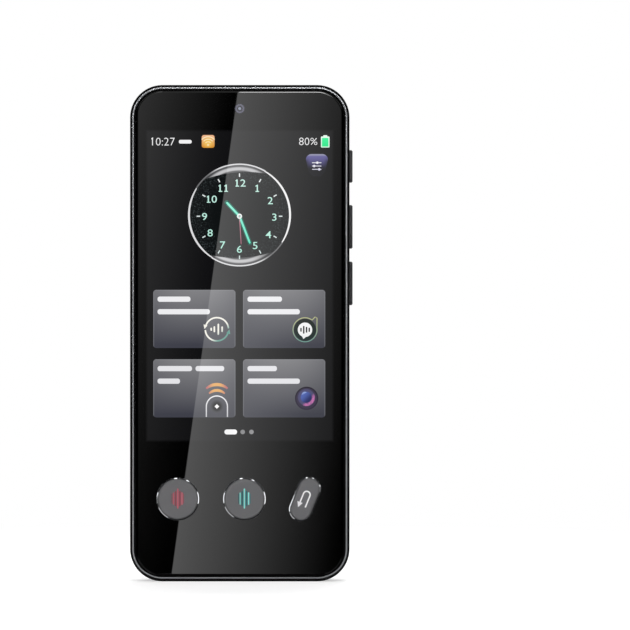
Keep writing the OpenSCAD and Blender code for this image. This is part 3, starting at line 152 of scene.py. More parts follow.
class Value:
    """One output of a finish; the arithmetic signs add Math nodes behind it."""

    def __init__(self, finish, plug):
        self.finish, self.plug = finish, plug

    def maths(self, operation, *others):
        """A Math node that takes this value first."""
        return self.finish.maths(operation, self, *others)

    def __add__(self, other):
        return self.maths("ADD", other)

    __radd__ = __add__

    def __sub__(self, other):
        return self.maths("SUBTRACT", other)

    def __rsub__(self, other):
        return self.finish.maths("SUBTRACT", other, self)

    def __mul__(self, other):
        return self.maths("MULTIPLY", other)

    __rmul__ = __mul__

    def __truediv__(self, other):
        return self.maths("DIVIDE", other)

    def __rtruediv__(self, other):
        return self.finish.maths("DIVIDE", other, self)

    def __pow__(self, other):
        return self.maths("POWER", other)

    def __neg__(self):
        return self.maths("MULTIPLY", -1.0)

    def __abs__(self):
        return self.maths("ABSOLUTE")

    def sine(self):
        return self.maths("SINE")

    def at_least(self, other):
        return self.maths("MAXIMUM", other)

    def at_most(self, other):
        return self.maths("MINIMUM", other)

    def ramp(self, low, high):
        """0 below low, 1 above high, and an S curve between them."""
        return self.finish.node("ShaderNodeMapRange", {"interpolation_type": "SMOOTHSTEP"},
                                {"Value": self, "From Min": low, "From Max": high})


class Finish:
    """The nodes of one material, or of the world, as they are written."""

    def __init__(self, owner):
        owner.use_nodes = True
        self.owner, self.tree = owner, owner.node_tree
        self.tree.nodes.clear()

    def node(self, kind, settings=None, inputs=None, out=0):
        """Adds one node: its settings first, then what its sockets get."""
        made = self.tree.nodes.new(kind)
        for name, choice in (settings or {}).items():
            setattr(made, name, choice)
        for name, given in (inputs or {}).items():
            self.feed(made.inputs[name], given)
        return Value(self, made.outputs[out]) if made.outputs else None

    def feed(self, socket, given):
        """Links a value to a socket, or sets the socket to a plain number or colour."""
        if isinstance(given, Value):
            self.tree.links.new(given.plug, socket)
        else:
            socket.default_value = given

    def maths(self, operation, *terms):
        """A Math node of these terms."""
        return self.node("ShaderNodeMath", {"operation": operation}, dict(enumerate(terms)))

    def vector(self, operation, inputs):
        """A Vector Math node with what its sockets get."""
        return self.node("ShaderNodeVectorMath", {"operation": operation}, inputs)

    def blend(self, share, first, second):
        """Colour mix: first where share is 0, second where it is 1."""
        return self.node("ShaderNodeMix", {"data_type": "RGBA"},
                         {0: share, 6: tint(first), 7: tint(second)}, out=2)

    def fade(self, along, low, high, first, second):
        """A colour that goes evenly from first, where along is low, to second at high."""
        share = self.node("ShaderNodeMapRange", None,
                          {"Value": along, "From Min": low, "From Max": high})
        return self.blend(share, first, second)

    def place(self):
        """Object coordinates in millimetres, as one vector."""
        metres = self.node("ShaderNodeTexCoord", out="Object")
        return self.vector("SCALE", {0: metres, "Scale": 1.0 / MM})

    def axes(self, vector=None):
        """The three parts of a vector; of the place in mm when none is given."""
        split = self.node("ShaderNodeSeparateXYZ", None, {0: vector or self.place()})
        return [Value(self, plug) for plug in split.plug.node.outputs]

    def away(self, x0, z0):
        """Distance in mm from a place on the front, seen along y."""
        x, _, z = self.axes()
        return diagonal(x - x0, z - z0)

    def noise(self, per_mm, detail=2.0, stretch=None, rough=0.5):
        """Soft noise of so many waves per millimetre, longer where stretch is small."""
        spot = self.place()
        if stretch:
            spot = self.vector("MULTIPLY", {0: spot, 1: stretch})
        return self.node("ShaderNodeTexNoise", None, {"Vector": spot, "Scale": per_mm,
                                                      "Detail": detail, "Roughness": rough})

    def cells(self, per_mm, feature="F1"):
        """Distance to the nearest cell point, for grains, bubbles and speckle."""
        return self.node("ShaderNodeTexVoronoi", {"feature": feature},
                         {"Vector": self.place(), "Scale": per_mm})

    def lines(self, along, pitch):
        """A wave from 0 to 1 that repeats every pitch millimetres."""
        return ((along * (math.tau / pitch)).sine() + 1.0) * 0.5

    def relief(self, height, depth_mm):
        """A Bump node for heights from 0 to 1 that are depth_mm deep."""
        return self.node("ShaderNodeBump", None, {"Strength": 1.0, "Distance": depth_mm * MM,
                                                  "Height": height})


class Coat(Finish):
    """A surface finish: one Principled shader under a material of its own name."""

    def __init__(self, name, **sockets):
        super().__init__(bpy.data.materials.new(name))
        surface = self.node("ShaderNodeBsdfPrincipled")
        self.node("ShaderNodeOutputMaterial", None, {"Surface": surface})
        self.shader = surface.plug.node
        self.put(**sockets)

    def put(self, **sockets):
        """Sets or links the shader's sockets, written as base_color=...; gives the material."""
        for name, given in sockets.items():
            title = name.replace("_", " ").title().replace("Ior", "IOR")
            self.feed(self.shader.inputs[title], given)
        return self.owner


# ---- finishes of the outer solids ------------------------------------------------


def rim_inset(f):
    """How far a point lies inside the frame's outline: a rounded box distance in mm."""
    x, _, z = f.axes()
    half_width, half_height = frame_high[0], frame_high[2] / 2
    side = abs(x) - (half_width - RIM_CORNER)
    rise = abs(z - half_height) - (half_height - RIM_CORNER)
    round_part = diagonal(side.at_least(0.0), rise.at_least(0.0))
    return RIM_CORNER - round_part - side.at_least(rise).at_most(0.0)


def trim_depth(f):
    """The inset as the bright line counts it, which is less along the foot."""
    _, _, z = f.axes()
    return rim_inset(f) - FOOT_TRIM_SHIFT * z.ramp(4.0, 1.0)


def satin_black_frame():
    """Black anodised rim with a very fine tooth, its side walls painted a little greyer as a
    painted sheen.

    Its front land is matt, and in a narrow band beside the trim it is polished and painted
    bright, a painted highlight.
    """
    f = Coat("satin_black_frame", specular_ior_level=0.14)
    tooth, rubbed = f.noise(9.0, 3.0), f.noise(0.09, 4.0)
    inset, depth = rim_inset(f), trim_depth(f)
    _, y, _ = f.axes()
    wall, land_end, front = inset.ramp(0.06, 0.01), 0.8, (y - frame_low[1]).ramp(0.3, 0.25)
    outer, inner = TRIM_BAND
    # Painted highlight: a narrow band of the land beside the trim is painted bright and made a
    # little metallic.
    polish_and_painted_highlight = inset.ramp(land_end, 0.84) * depth.ramp(inner + TRIM_FADE, inner - TRIM_FADE)
    polish_and_painted_highlight = polish_and_painted_highlight * depth.ramp(outer - TRIM_FADE, outer + TRIM_FADE) * front
    black = f.blend(rubbed.ramp(0.35, 0.8), (1, 1, 1), (4, 4, 5))
    # grey, laid on the side walls through wall, is a painted sheen.
    grey = f.blend(rubbed.ramp(0.3, 0.8), (33, 33, 34), (43, 43, 45))
    matt = (0.1 + 0.5 * (1.0 - wall)) * (1.0 - polish_and_painted_highlight)
    return f.put(base_color=f.blend(polish_and_painted_highlight, f.blend(wall, black, grey), (166, 168, 171)),
                 metallic=0.2 * polish_and_painted_highlight, roughness=0.2 + 0.1 * tooth + 0.1 * rubbed + matt,
                 normal=f.relief(tooth * (1.0 - 0.95 * polish_and_painted_highlight), 0.004))


def bright_trim():
    """Blasted aluminium with a soft haze, black on its outer lip, and painted paler at the top as
    a painted highlight.
    """
    f = Coat("bright_trim_metal", specular_ior_level=0.3)
    haze, blotch = f.noise(6.0, 2.0), f.noise(0.15, 2.0)
    _, _, z = f.axes()
    lip = trim_depth(f).ramp(TRIM_BAND[0] + TRIM_FADE, TRIM_BAND[0] - TRIM_FADE)
    bright = f.blend(blotch, (160, 162, 165), (170, 172, 175))
    # Painted highlight: the top of the trim is painted paler.
    bright = f.blend(z.ramp(134.5, 137.5), bright, (196, 198, 201))
    return f.put(base_color=f.blend(lip, bright, (4, 4, 5)), metallic=0.2 * (1.0 - lip),
                 roughness=0.22 + 0.06 * haze + 0.5 * lip, normal=f.relief(haze, 0.0003))


def cover_glass():
    """Glass with a black print behind it and the faintest film of finger marks.

    A matt black print runs up both sides, and the foot is ground: both are dark
    metal to the shader, which mirrors nothing of the room.
    """
    f = Coat("black_printed_glass", ior=1.5)
    film = f.noise(0.06, 5.0, rough=0.65)
    x, _, z = f.axes()
    side = abs(x).ramp(lens_high[0] - 0.85, lens_high[0] - 0.4)
    foot = z.ramp(lens_low[2] + 0.6, lens_low[2] + 0.4)
    ground = f.blend(foot, f.blend(film, (1, 1, 1), (3, 3, 3)), (24, 24, 25))
    return f.put(base_color=f.blend(side, ground, (0, 0, 0)), metallic=side.at_least(foot),
                 roughness=0.004 + 0.014 * film.ramp(0.45, 0.75) + 0.4 * foot)


def hole_distance(x, z):
    """Distance in mm to the nearest hole of staggered rows, the even ones half a pitch over."""
    rise = (z - GRILLE_HEIGHT) / GRILLE_ROW_PITCH
    row = rise.maths("ROUND")
    even = 1.0 - abs(row.maths("MODULO", 2.0))
    along = x / GRILLE_PITCH + 0.5 * even
    return diagonal((along - along.maths("ROUND")) * GRILLE_PITCH,
                    (rise - row) * GRILLE_ROW_PITCH)


def cover_grey():
    """Grey painted shell: soft-touch paint over a fine spark-eroded grain.

    Painted shade darkens it towards its sides and foot, and painted light makes it paler
    at the top; the floors of the blind holes and of the lanyard slot carry painted shade.
    """
    f = Coat("soft_grey_shell", specular_ior_level=0.42)
    grain, speck = f.noise(11.0, 2.0), f.cells(16.0)
    cloud = f.noise(0.05, 5.0, rough=0.6)
    paint = f.blend(cloud, (101, 101, 102), (110, 110, 111))
    paint = f.blend(speck.ramp(0.28, 0.08) * 0.35, paint, (138, 138, 139))
    paint = f.blend(grain.ramp(0.62, 0.8) * 0.3, paint, (80, 80, 82))
    x, y, z = f.axes()
    # Painted shade towards the sides and foot, and painted light at the top.
    dark = (62, 62, 63)
    paint = f.blend(abs(x).ramp(21.5, 31.5) * 0.8, paint, dark)
    paint = f.blend(z.ramp(5.5, 0.0) * 0.4, paint, dark)
    paint = f.blend(z.ramp(131.4, 138.6) * 0.42, paint, (150, 150, 151))
    in_row = (abs(x).ramp(GRILLE_HALF_WIDE, GRILLE_HALF_WIDE - 0.1)
              * abs(z - GRILLE_HEIGHT).ramp(GRILLE_HALF_HIGH, GRILLE_HALF_HIGH - 0.1))
    # Painted shade on the floors of the blind holes, darkest round their rims.
    sunk = (back_face - y).ramp(0.02, 0.12) * in_row
    bottom = f.blend(hole_distance(x, z).ramp(0.1, 0.42), (88, 88, 90), (36, 36, 38))
    paint = f.blend(sunk * 0.7, paint, bottom)
    rise = z - SLOT_Z
    past = (abs(x - SLOT_X) - (SLOT_LONG - SLOT_WIDE) / 2).at_least(0.0)
    slot = diagonal(past, rise).ramp(SLOT_WIDE / 2 + 0.05, SLOT_WIDE / 2)
    # Painted shade in the lanyard slot: black at its top, lighter towards its lower edge.
    shade = f.blend(rise.ramp(0.1, -1.2), (4, 4, 5), (66, 66, 68))
    return f.put(base_color=f.blend(slot, paint, shade),
                 roughness=0.5 + 0.12 * grain, normal=f.relief(grain, 0.006))


def about(f, node):
    """Distance in mm and angle of a point round the middle of a node, seen along y."""
    (x, _, z), (x0, z0) = f.axes(), middle_of(node)
    side, rise = x - x0, z - z0
    return diagonal(side, rise), rise.maths("ARCTAN2", side)


def camera_plate():
    """Black lacquer over spun metal, with two bright sweeps across its dish painted on as
    highlights.

    A sweep is the cosine of twice the angle from its turn, so it comes up on
    opposite quarters; its bright core is narrower and a little steeper, and it
    is brightest beside the window.
    """
    f = Coat("spun_black_plate", specular_ior_level=0.2)
    radius, turn = about(f, "camera_bezel")

    def sweep_at(angle, low, high):
        return ((turn - math.radians(angle)) * 2.0 + math.pi / 2).sine().ramp(low, high)

    sweep = sweep_at(63.0, 0.84, 0.97)
    core = sweep_at(68.0, 0.93, 0.995) * radius.ramp(6.6, CAMERA_RING)
    # silver, and the dark ground that lightens along the sweeps, are painted sheen of the spun
    # metal.
    silver = f.blend(core, (92, 92, 112), (228, 228, 242))
    dark = f.blend(sweep_at(63.0, 0.0, 1.0), (4, 4, 6), (22, 22, 38))
    groove = f.lines(radius, 0.3)
    collar = radius.ramp(CAMERA_RING + 0.02, CAMERA_RING + 0.14)
    return f.put(base_color=f.blend(sweep * 0.92 * collar, dark, silver),
                 metallic=0.15 * sweep * collar, roughness=0.3 + 0.06 * groove,
                 normal=f.relief(groove, 0.001))


def rear_eye_glass():
    """The rear window: a violet coated ring round a dark pupil, in a black surround; the ring's
    bright side is a painted reflection and the pupil's pale middle a painted glint.
    """
    f = Coat("rear_eye_glass", ior=1.5, roughness=0.03, specular_ior_level=0.35)
    radius, turn = about(f, "camera_window")
    # Painted reflection: the ring is bright on one side, by its angle round the middle.
    bloom = (turn + math.radians(55.0)).sine().ramp(0.5, -0.8)
    ring = f.blend(bloom, (34, 32, 66), (206, 202, 226))
    # Painted glint: the pale middle of the pupil.
    glass = f.blend(radius.ramp(0.16, 0.34), (214, 212, 236), (18, 14, 50))
    glass = f.blend(radius.ramp(0.78, 0.95), glass, ring)
    glass = f.blend(radius.ramp(1.12, 1.32), glass, (6, 6, 10))
    rays = f.lines(turn, math.pi / 18)
    collar = radius.ramp(1.6, 1.75) * radius.ramp(CAMERA_RING - 0.1, CAMERA_RING - 0.3)
    return f.put(base_color=f.blend(collar * (0.7 + 0.3 * rays), glass, (38, 39, 46)))


def side_key_satin(node):
    """Dark grey side key, black round its outer face and at its ends as painted shade, whose
    middle is worn to a satin grey.
    """
    f = Coat("side_key_satin_" + node, specular_ior_level=0.2)
    low, high = extent(node)
    x, y, z = f.axes()
    middle, half = (low + high) / 2, (high - low) / 2
    outer = (high[0] - x).ramp(0.34, 0.2)
    ends = abs(z - middle[2]).ramp(half[2] - 0.45, half[2] - 0.25)
    across = abs(y - middle[1]).ramp(half[1] - 0.4, half[1] - 0.25)
    tooth = f.noise(9.0, 3.0)
    grey = f.blend(tooth, (60, 60, 62), (70, 70, 72))
    worn = f.blend(tooth, (50, 50, 52), (60, 60, 62))
    # black is painted shade on the key's rounded ends and round its outer face.
    black = (24, 24, 26)
    face, flank = f.blend(ends.at_least(across), worn, black), f.blend(ends, grey, black)
    return f.put(base_color=f.blend(outer, flank, face),
                 roughness=0.4 + 0.1 * tooth, normal=f.relief(tooth, 0.003))


def grained(name, grain, tone, first, second, rough, depth, **sockets):
    """Two tones mixed by one noise, over a finer one that roughens and lifts the skin.

    Grain and tone are what noise takes; with no tone the grain mixes the colours.
    Roughness is the first number of rough plus the second times the grain.
    """
    f = Coat(name, **sockets)
    fine = f.noise(*grain)
    slow = f.noise(*tone) if tone else fine
    return f.put(base_color=f.blend(slow, first, second), roughness=rough[0] + rough[1] * fine,
                 normal=f.relief(fine, depth))


def key_grey():
    """Grey painted key cap, finer and a little smoother than the shell."""
    return grained("satin_grey_key", (12.0, 2.0), (0.2, 3.0), (101, 101, 103), (109, 109, 111),
                   (0.44, 0.1), 0.004, specular_ior_level=0.42)


def key_ring_chrome():
    """Polished chrome of the key rings, with the faintest haze."""
    return grained("polished_key_chrome", (0.8, 3.0), None, (206, 208, 212), (226, 227, 230),
                   (0.05, 0.05), 0.0008, metallic=1.0)


# ---- finishes of the solids inside -----------------------------------------------


def plate_steel():
    """Cold-rolled stainless sheet with its rolling lines."""
    return grained("rolled_plate_steel", (6.0, 4.0, (1.0, 1.0, 0.03)), (0.12, 4.0),
                   (150, 152, 156), (186, 188, 190), (0.26, 0.22), 0.003, metallic=1.0)


def gold_plate():
    """Gold over nickel with a soft drawn grain."""
    return grained("gold_plate", (7.0, 3.0, (1.0, 0.1, 1.0)), (0.6, 2.0),
                   (206, 160, 78), (228, 190, 112), (0.2, 0.16), 0.002, metallic=1.0)


def dome_steel():
    """Thin spring steel, brushed across."""
    return grained("spring_dome_steel", (10.0, 3.0, (0.1, 1.0, 1.0)), (0.7, 2.0),
                   (168, 168, 170), (204, 204, 204), (0.18, 0.18), 0.002, metallic=1.0)


def module_black():
    """Matt black camera housing with a light blasted texture."""
    return grained("blasted_module_black", (8.0, 3.0), (0.3, 3.0), (22, 22, 23), (36, 36, 38),
                   (0.5, 0.16), 0.008, specular_ior_level=0.4)


def chip_black():
    """Moulded chip body, matt and finely grained."""
    return grained("moulded_chip", (9.0, 2.0), (0.4, 2.0), (28, 28, 30), (46, 46, 48),
                   (0.42, 0.2), 0.006, specular_ior_level=0.45)


def lead_red():
    """Red silicone lead with a dusty bloom."""
    return grained("red_lead", (1.0, 4.0), None, (150, 16, 16), (182, 38, 34),
                   (0.4, 0.18), 0.01, specular_ior_level=0.4)


def adhesive_tape():
    """Black double-sided tape with a woven scrim pressed into it."""
    f = Coat("adhesive_tape", specular_ior_level=0.3)
    x, _, z = f.axes()
    scrim, dust = f.lines(x, 0.35) * f.lines(z, 0.35), f.noise(2.5, 3.0)
    return f.put(base_color=f.blend(scrim * 0.6 + dust * 0.4, (17, 17, 18), (44, 44, 46)),
                 roughness=0.62 + 0.2 * dust, normal=f.relief(scrim, 0.01))


def screen_cell():
    """Unlit display cell: dark glass over columns of red, green and blue dots."""
    f = Coat("screen_cell_glass", ior=1.5, roughness=0.08)
    x, _, z = f.axes()
    dots = f.blend(f.lines(x, DOT), (20, 20, 34), (38, 22, 24))
    dots = f.blend(f.lines(x + DOT / 3, DOT) * 0.6, dots, (20, 36, 28))
    return f.put(base_color=f.blend(f.lines(z, DOT) * 0.5, dots, (10, 10, 14)))


def backlight_sheet():
    """Pearl white light guide with fine prism lines."""
    f = Coat("backlight_sheet", ior=1.49)
    _, _, z = f.axes()
    prisms, haze = f.lines(z, 0.12), f.noise(0.08, 3.0)
    return f.put(base_color=f.blend(haze, (226, 229, 232), (244, 245, 243)),
                 roughness=0.22 + 0.14 * haze, normal=f.relief(prisms, 0.006))


def cell_foam():
    """Black closed-cell foam."""
    f = Coat("closed_cell_foam", specular_ior_level=0.2)
    bubble, tone = f.cells(5.0), f.noise(0.5, 3.0)
    return f.put(base_color=f.blend(bubble.ramp(0.1, 0.7), (22, 22, 23), (50, 50, 51)),
                 roughness=0.85 + 0.1 * tone, normal=f.relief(bubble, 0.05))


def flex_film():
    """Amber film with copper tracks running along it."""
    f = Coat("amber_flex_film", ior=1.6)
    x, y, z = f.axes()
    track = f.lines(x + y * 0.7 + z, 0.42).ramp(0.45, 0.6)
    haze = f.noise(0.6, 3.0)
    amber = f.blend(haze, (150, 86, 24), (186, 116, 40))
    return f.put(base_color=f.blend(track * 0.55, amber, (92, 46, 20)),
                 roughness=0.28 + 0.12 * haze, normal=f.relief(track, 0.006))


def lens_glass():
    """Coated lens: near black with a violet and a blue bloom off its centre."""
    f = Coat("coated_lens_glass", ior=1.6, roughness=0.02)
    facing = f.node("ShaderNodeLayerWeight", None, {"Blend": 0.35}, out="Facing")
    bloom = f.blend(f.noise(0.5, 1.0).ramp(0.4, 0.62), (26, 16, 48), (14, 22, 58))
    return f.put(base_color=f.blend(facing.ramp(0.1, 0.8), bloom, (6, 6, 12)))


def speaker_plastic():
    """Glass-filled black plastic with short pale fibres near its skin."""
    f = Coat("glass_filled_plastic", specular_ior_level=0.45)
    fibre, flow = f.noise(7.0, 3.0, (0.25, 1.0, 1.0)), f.noise(0.25, 3.0)
    return f.put(base_color=f.blend(fibre.ramp(0.55, 0.72) * 0.6, (20, 20, 21), (62, 62, 64)),
                 roughness=0.38 + 0.2 * flow, normal=f.relief(fibre, 0.006))


def magnet_steel():
    """Nickel-plated magnet with mottled, lightly pitted plating."""
    f = Coat("plated_magnet", metallic=1.0)
    mottle, pit = f.noise(1.2, 4.0), f.cells(3.5)
    return f.put(base_color=f.blend(mottle, (138, 136, 130), (178, 176, 170)),
                 roughness=0.3 + 0.18 * mottle, normal=f.relief(pit, 0.006))


def cone_film():
    """Pressed speaker film with ribs in rings round its middle."""
    f = Coat("pressed_cone_film", ior=1.55)
    ribs = f.lines(f.away(*middle_of("speaker_cone")), 0.8)
    return f.put(base_color=f.blend(ribs, (36, 30, 26), (74, 62, 50)),
                 roughness=0.34, normal=f.relief(ribs, 0.05))


def speaker_cloth():
    """Fine woven screen: crossed threads with dark holes between them."""
    f = Coat("woven_speaker_screen", specular_ior_level=0.3)
    x, _, z = f.axes()
    thread = f.lines(x + z, 0.22).at_least(f.lines(x - z, 0.22))
    return f.put(base_color=f.blend(thread.ramp(0.35, 0.95), (5, 5, 6), (38, 38, 40)),
                 roughness=0.72, normal=f.relief(thread, 0.03))


def circuit_board():
    """Green solder mask over copper runs, with plated holes."""
    f = Coat("green_circuit_board", ior=1.5)
    x, _, _ = f.axes()
    run = 1.0 - f.cells(0.5, "DISTANCE_TO_EDGE").ramp(0.02, 0.06)
    via = 1.0 - f.cells(0.9).ramp(0.1, 0.14)
    fine = f.lines(x, 0.9).ramp(0.86, 0.94) * f.noise(0.2, 1.0).ramp(0.5, 0.52)
    mask = f.blend(f.noise(1.5, 3.0), (10, 58, 34), (18, 74, 44))
    mask = f.blend((run + fine).at_most(1.0) * 0.6, mask, (44, 118, 70))
    return f.put(base_color=f.blend(via, mask, (206, 170, 96)), metallic=via * 0.9,
                 roughness=0.34 - 0.08 * via, normal=f.relief(run + fine, 0.02))


def connector_body():
    """Ivory connector plastic with rows of contacts moulded in."""
    f = Coat("connector_body", ior=1.5)
    x, _, z = f.axes()
    pins, tone = f.lines(x + z, 0.5).ramp(0.7, 0.85), f.noise(0.8, 3.0)
    ivory = f.blend(tone, (190, 182, 160), (214, 207, 188))
    return f.put(base_color=f.blend(pins * 0.5, ivory, (150, 120, 66)),
                 roughness=0.42 + 0.1 * tone, normal=f.relief(pins, 0.01))


def cable_black():
    """Black cable jacket, faintly ringed."""
    f = Coat("cable_jacket", specular_ior_level=0.4)
    _, _, z = f.axes()
    ring, tone = f.lines(z, 0.7), f.noise(1.2, 3.0)
    return f.put(base_color=f.blend(tone, (18, 18, 19), (34, 34, 35)),
                 roughness=0.44 + 0.16 * tone, normal=f.relief(ring, 0.01))


def battery_pouch():
    """Aluminium laminate pouch with a light press pattern and soft creases."""
    f = Coat("laminate_pouch", metallic=0.85)
    x, _, z = f.axes()
    press = f.lines(x, 1.6) * f.lines(z, 1.6)
    crease = f.noise(0.12, 5.0, rough=0.6)
    return f.put(base_color=f.blend(crease, (158, 161, 166), (196, 198, 202)),
                 roughness=0.3 + 0.16 * crease, normal=f.relief(press + crease * 3.0, 0.02))


FINISH_OF_SLOT = {
    "frame_black": satin_black_frame, "bright_trim": bright_trim,
    "cover_glass": cover_glass, "tape": adhesive_tape, "screen_cell": screen_cell,
    "backlight_sheet": backlight_sheet, "foam": cell_foam, "flex_film": flex_film,
    "plate_steel": plate_steel, "cover_grey": cover_grey, "camera_plate": camera_plate,
    "lens_glass": lens_glass, "module_black": module_black,
    "speaker_plastic": speaker_plastic, "magnet_steel": magnet_steel,
    "cone_film": cone_film, "mesh_cloth": speaker_cloth, "board": circuit_board,
    "chip": chip_black, "connector": connector_body, "gold_plate": gold_plate,
    "cable_black": cable_black, "pouch": battery_pouch, "lead_red": lead_red,
    "key_grey": key_grey, "dome_steel": dome_steel,
}


def dress_solids():
    """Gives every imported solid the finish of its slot, or one of its own."""
    made = {slot: finish() for slot, finish in FINISH_OF_SLOT.items()}
    own = {node: side_key_satin(node) for node in SIDE_KEYS}
    own["camera_window"] = rear_eye_glass()
    for part in frame["record"]["subparts"]:
        solid = frame["nodes"][part["node"]]
        solid.data.materials.clear()
        solid.data.materials.append(own.get(part["node"], made[part["material_slot"]]))


# ---- flat marks: outlines in (x, z), each a thin closed plate -------------------


def polar(u, v, radius, turn):
    """Points at a radius from a centre, turned by angles in radians."""
    return np.stack([u + radius * np.cos(turn), v + radius * np.sin(turn)], axis=1)


def circle(u, v, radius, points=64):
    """Points at a radius, turned evenly round a centre."""
    return polar(u, v, radius, np.linspace(0.0, math.tau, points, endpoint=False))


def arc(u, v, radius, start, stop, points=40):
    """Points at a radius from one angle to another, in degrees, v downwards."""
    return polar(u, v, radius, np.radians(np.linspace(start, stop, points)))


def rounded(left, top, right, bottom, radius):
    """A rectangle with round corners: the corner centres plus a radius turned by angle."""
    turn = np.linspace(0.0, math.tau, 48, endpoint=False).reshape(4, 12) + math.tau / 96
    sign_u = np.array([1, -1, -1, 1])[:, None]
    sign_v = np.array([1, 1, -1, -1])[:, None]
    reach_u, reach_v = (right - left) / 2 - radius, (bottom - top) / 2 - radius
    u = (left + right) / 2 + sign_u * reach_u + radius * np.cos(turn)
    v = (top + bottom) / 2 + sign_v * reach_v + radius * np.sin(turn)
    return np.stack([u.ravel(), v.ravel()], axis=1)


def swell(points, least=0.06, power=1.0):
    """Widths along a band as shares: least at both ends, 1 halfway, a sine's power between."""
    return least + (1.0 - least) * np.sin(np.linspace(0.0, math.pi, points)) ** power


def at_depth(flat, depth):
    """Points of the front, as (x, z), at a depth along y."""
    return np.insert(flat, 1, depth, axis=-1)


def plate(outline, front, back):
    """A closed plate over an outline that its middle can see all round.

    Points: the outline at the front, the same at the back, and the two middles.
    The front and back are fans of triangles and the edge is a band of quads.
    """
    area = np.sum(outline[:, 0] * np.roll(outline[:, 1], -1)
                  - outline[:, 1] * np.roll(outline[:, 0], -1))
    outline = outline if area > 0 else outline[::-1]
    count = len(outline)
    middle = outline.mean(axis=0)
    points = np.vstack([at_depth(outline, front), at_depth(outline, back),
                        at_depth(middle, front), at_depth(middle, back)])
    here = np.arange(count)
    there = (here + 1) % count
    hub = np.full(count, 2 * count)
    faces = np.stack([hub, here, there], axis=1).tolist()
    faces += np.stack([hub + 1, there + count, here + count], axis=1).tolist()
    faces += np.stack([here, here + count, there + count, there], axis=1).tolist()
    return points, faces


def ribbon(path, width, front, back, closed=False):
    """A flat band carried along a path: the path moved half a width to each side.

    Four rails (left front, right front, right back, left back) are joined round
    the section and along the path; an open band gets two end faces.
    """
    if closed:
        ahead, behind = np.roll(path, -1, axis=0), np.roll(path, 1, axis=0)
    else:
        ahead = np.vstack([path[1:], path[-1:]])
        behind = np.vstack([path[:1], path[:-1]])
    run = ahead - behind
    run /= np.linalg.norm(run, axis=1, keepdims=True)
    half = np.broadcast_to(np.asarray(width) / 2, len(path))[:, None]
    aside = np.stack([-run[:, 1], run[:, 0]], axis=1) * half
    rails = np.stack([at_depth(path + aside, front), at_depth(path - aside, front),
                      at_depth(path - aside, back), at_depth(path + aside, back)])
    count = len(path)
    along = np.arange(count if closed else count - 1)
    onward = (along + 1) % count
    faces = []
    for rail in range(4):
        first, second = rail * count, (rail + 1) % 4 * count
        faces += np.stack([first + along, second + along,
                           second + onward, first + onward], axis=1).tolist()
    if not closed:
        faces.append([3 * count, 2 * count, count, 0])
        last = count - 1
        faces.append([last, count + last, 2 * count + last, 3 * count + last])
    return rails.reshape(-1, 3), faces


def figures(text, left, top, height, front, back, weight=0.0, wide=1.0):
    """Plain figures as closed plates: a text made a mesh, then laid on the surface.

    The text's own x, y and depth become x, z and minus y in millimetres.
    """
    curve = bpy.data.curves.new("figures", "FONT")
    curve.body, curve.extrude, curve.offset, curve.resolution_u = text, 0.5, weight, 3
    source = bpy.data.objects.new("figures", curve)
    bpy.context.scene.collection.objects.link(source)
    bpy.context.view_layer.update()
    mesh = bpy.data.meshes.new_from_object(source.evaluated_get(
        bpy.context.evaluated_depsgraph_get()))
    points = np.empty(len(mesh.vertices) * 3)
    mesh.vertices.foreach_get("co", points)
    points = points.reshape(-1, 3)
    faces = [list(face.vertices) for face in mesh.polygons]
    bpy.data.objects.remove(source)
    bpy.data.curves.remove(curve)
    bpy.data.meshes.remove(mesh)
    low, high = points.min(axis=0), points.max(axis=0)
    size = height / (high[1] - low[1])
    x = left + (points[:, 0] - low[0]) * size * wide
    z = top - (high[1] - points[:, 1]) * size
    y = np.where(points[:, 2] > 0, front, back)
    return np.stack([x, y, z], axis=1), faces


def joined(*shapes):
    """Several shapes as one list of points and one list of faces."""
    points, faces, count = [], [], 0
    for some_points, some_faces in shapes:
        points.append(some_points)
        faces += [[corner + count for corner in face] for face in some_faces]
        count += len(some_points)
    return np.vstack(points), faces


def piece(name, shape, material, body="body"):
    """Makes a mesh object from points in mm, with one finish, riding on a body."""
    points, faces = shape
    mesh = bpy.data.meshes.new(name)
    mesh.from_pydata((points * MM).tolist(), [], faces)
    mesh.update()
    made = bpy.data.objects.new(name, mesh)
    bpy.context.scene.collection.objects.link(made)
    mesh.materials.append(material)
    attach(made, body)
    return made


# ---- the lit screen --------------------------------------------------------------


def screen_point(u, v):
    """Display dots to millimetres: u to the right, v down from the top left corner."""
    return np.array([SCREEN_LEFT + DOT * u, SCREEN_TOP - DOT * v])


def on_screen(outline):
    """An outline in display dots as points in millimetres."""
    return screen_point(*np.asarray(outline, dtype=float).T).T


def rise_of(layer):
    """Front and back depth of a mark that stands on the glass and rises to its layer."""
    return glass_front - LAYER * layer, glass_front + LIT_SUNK


def lit(outline, layer):
    """A plate over an outline in display dots."""
    return plate(on_screen(outline), *rise_of(layer))


def drawn(path, width, layer, closed=False):
    """A band along a path in display dots."""
    return ribbon(on_screen(path), np.asarray(width) * DOT, *rise_of(layer), closed)


def digits(text, u, v, height, layer, weight, wide=1.0):
    """Figures whose top left corner is at (u, v) in display dots."""
    return figures(text, *screen_point(u, v), height * DOT, *rise_of(layer), weight, wide)


def upright_bars(u, v, half_wide, radius, layer, bars):
    """Round-ended bars beside a centre, each given by its step aside and its height."""
    return [lit(rounded(u + step - half_wide, v - tall / 2,
                        u + step + half_wide, v + tall / 2, radius), layer)
            for step, tall in bars]


def lit_piece(name, shape, finish, colour):
    """A piece lit by the display under the same glass: emission, black base, glass gloss.

    The colour is a function of the finish that writes the emission.
    """
    f = Coat(finish, ior=1.5, roughness=0.005, base_color=tint((1, 1, 1)),
             emission_strength=1.0)
    piece(name, shape, f.put(emission_color=colour(f)))


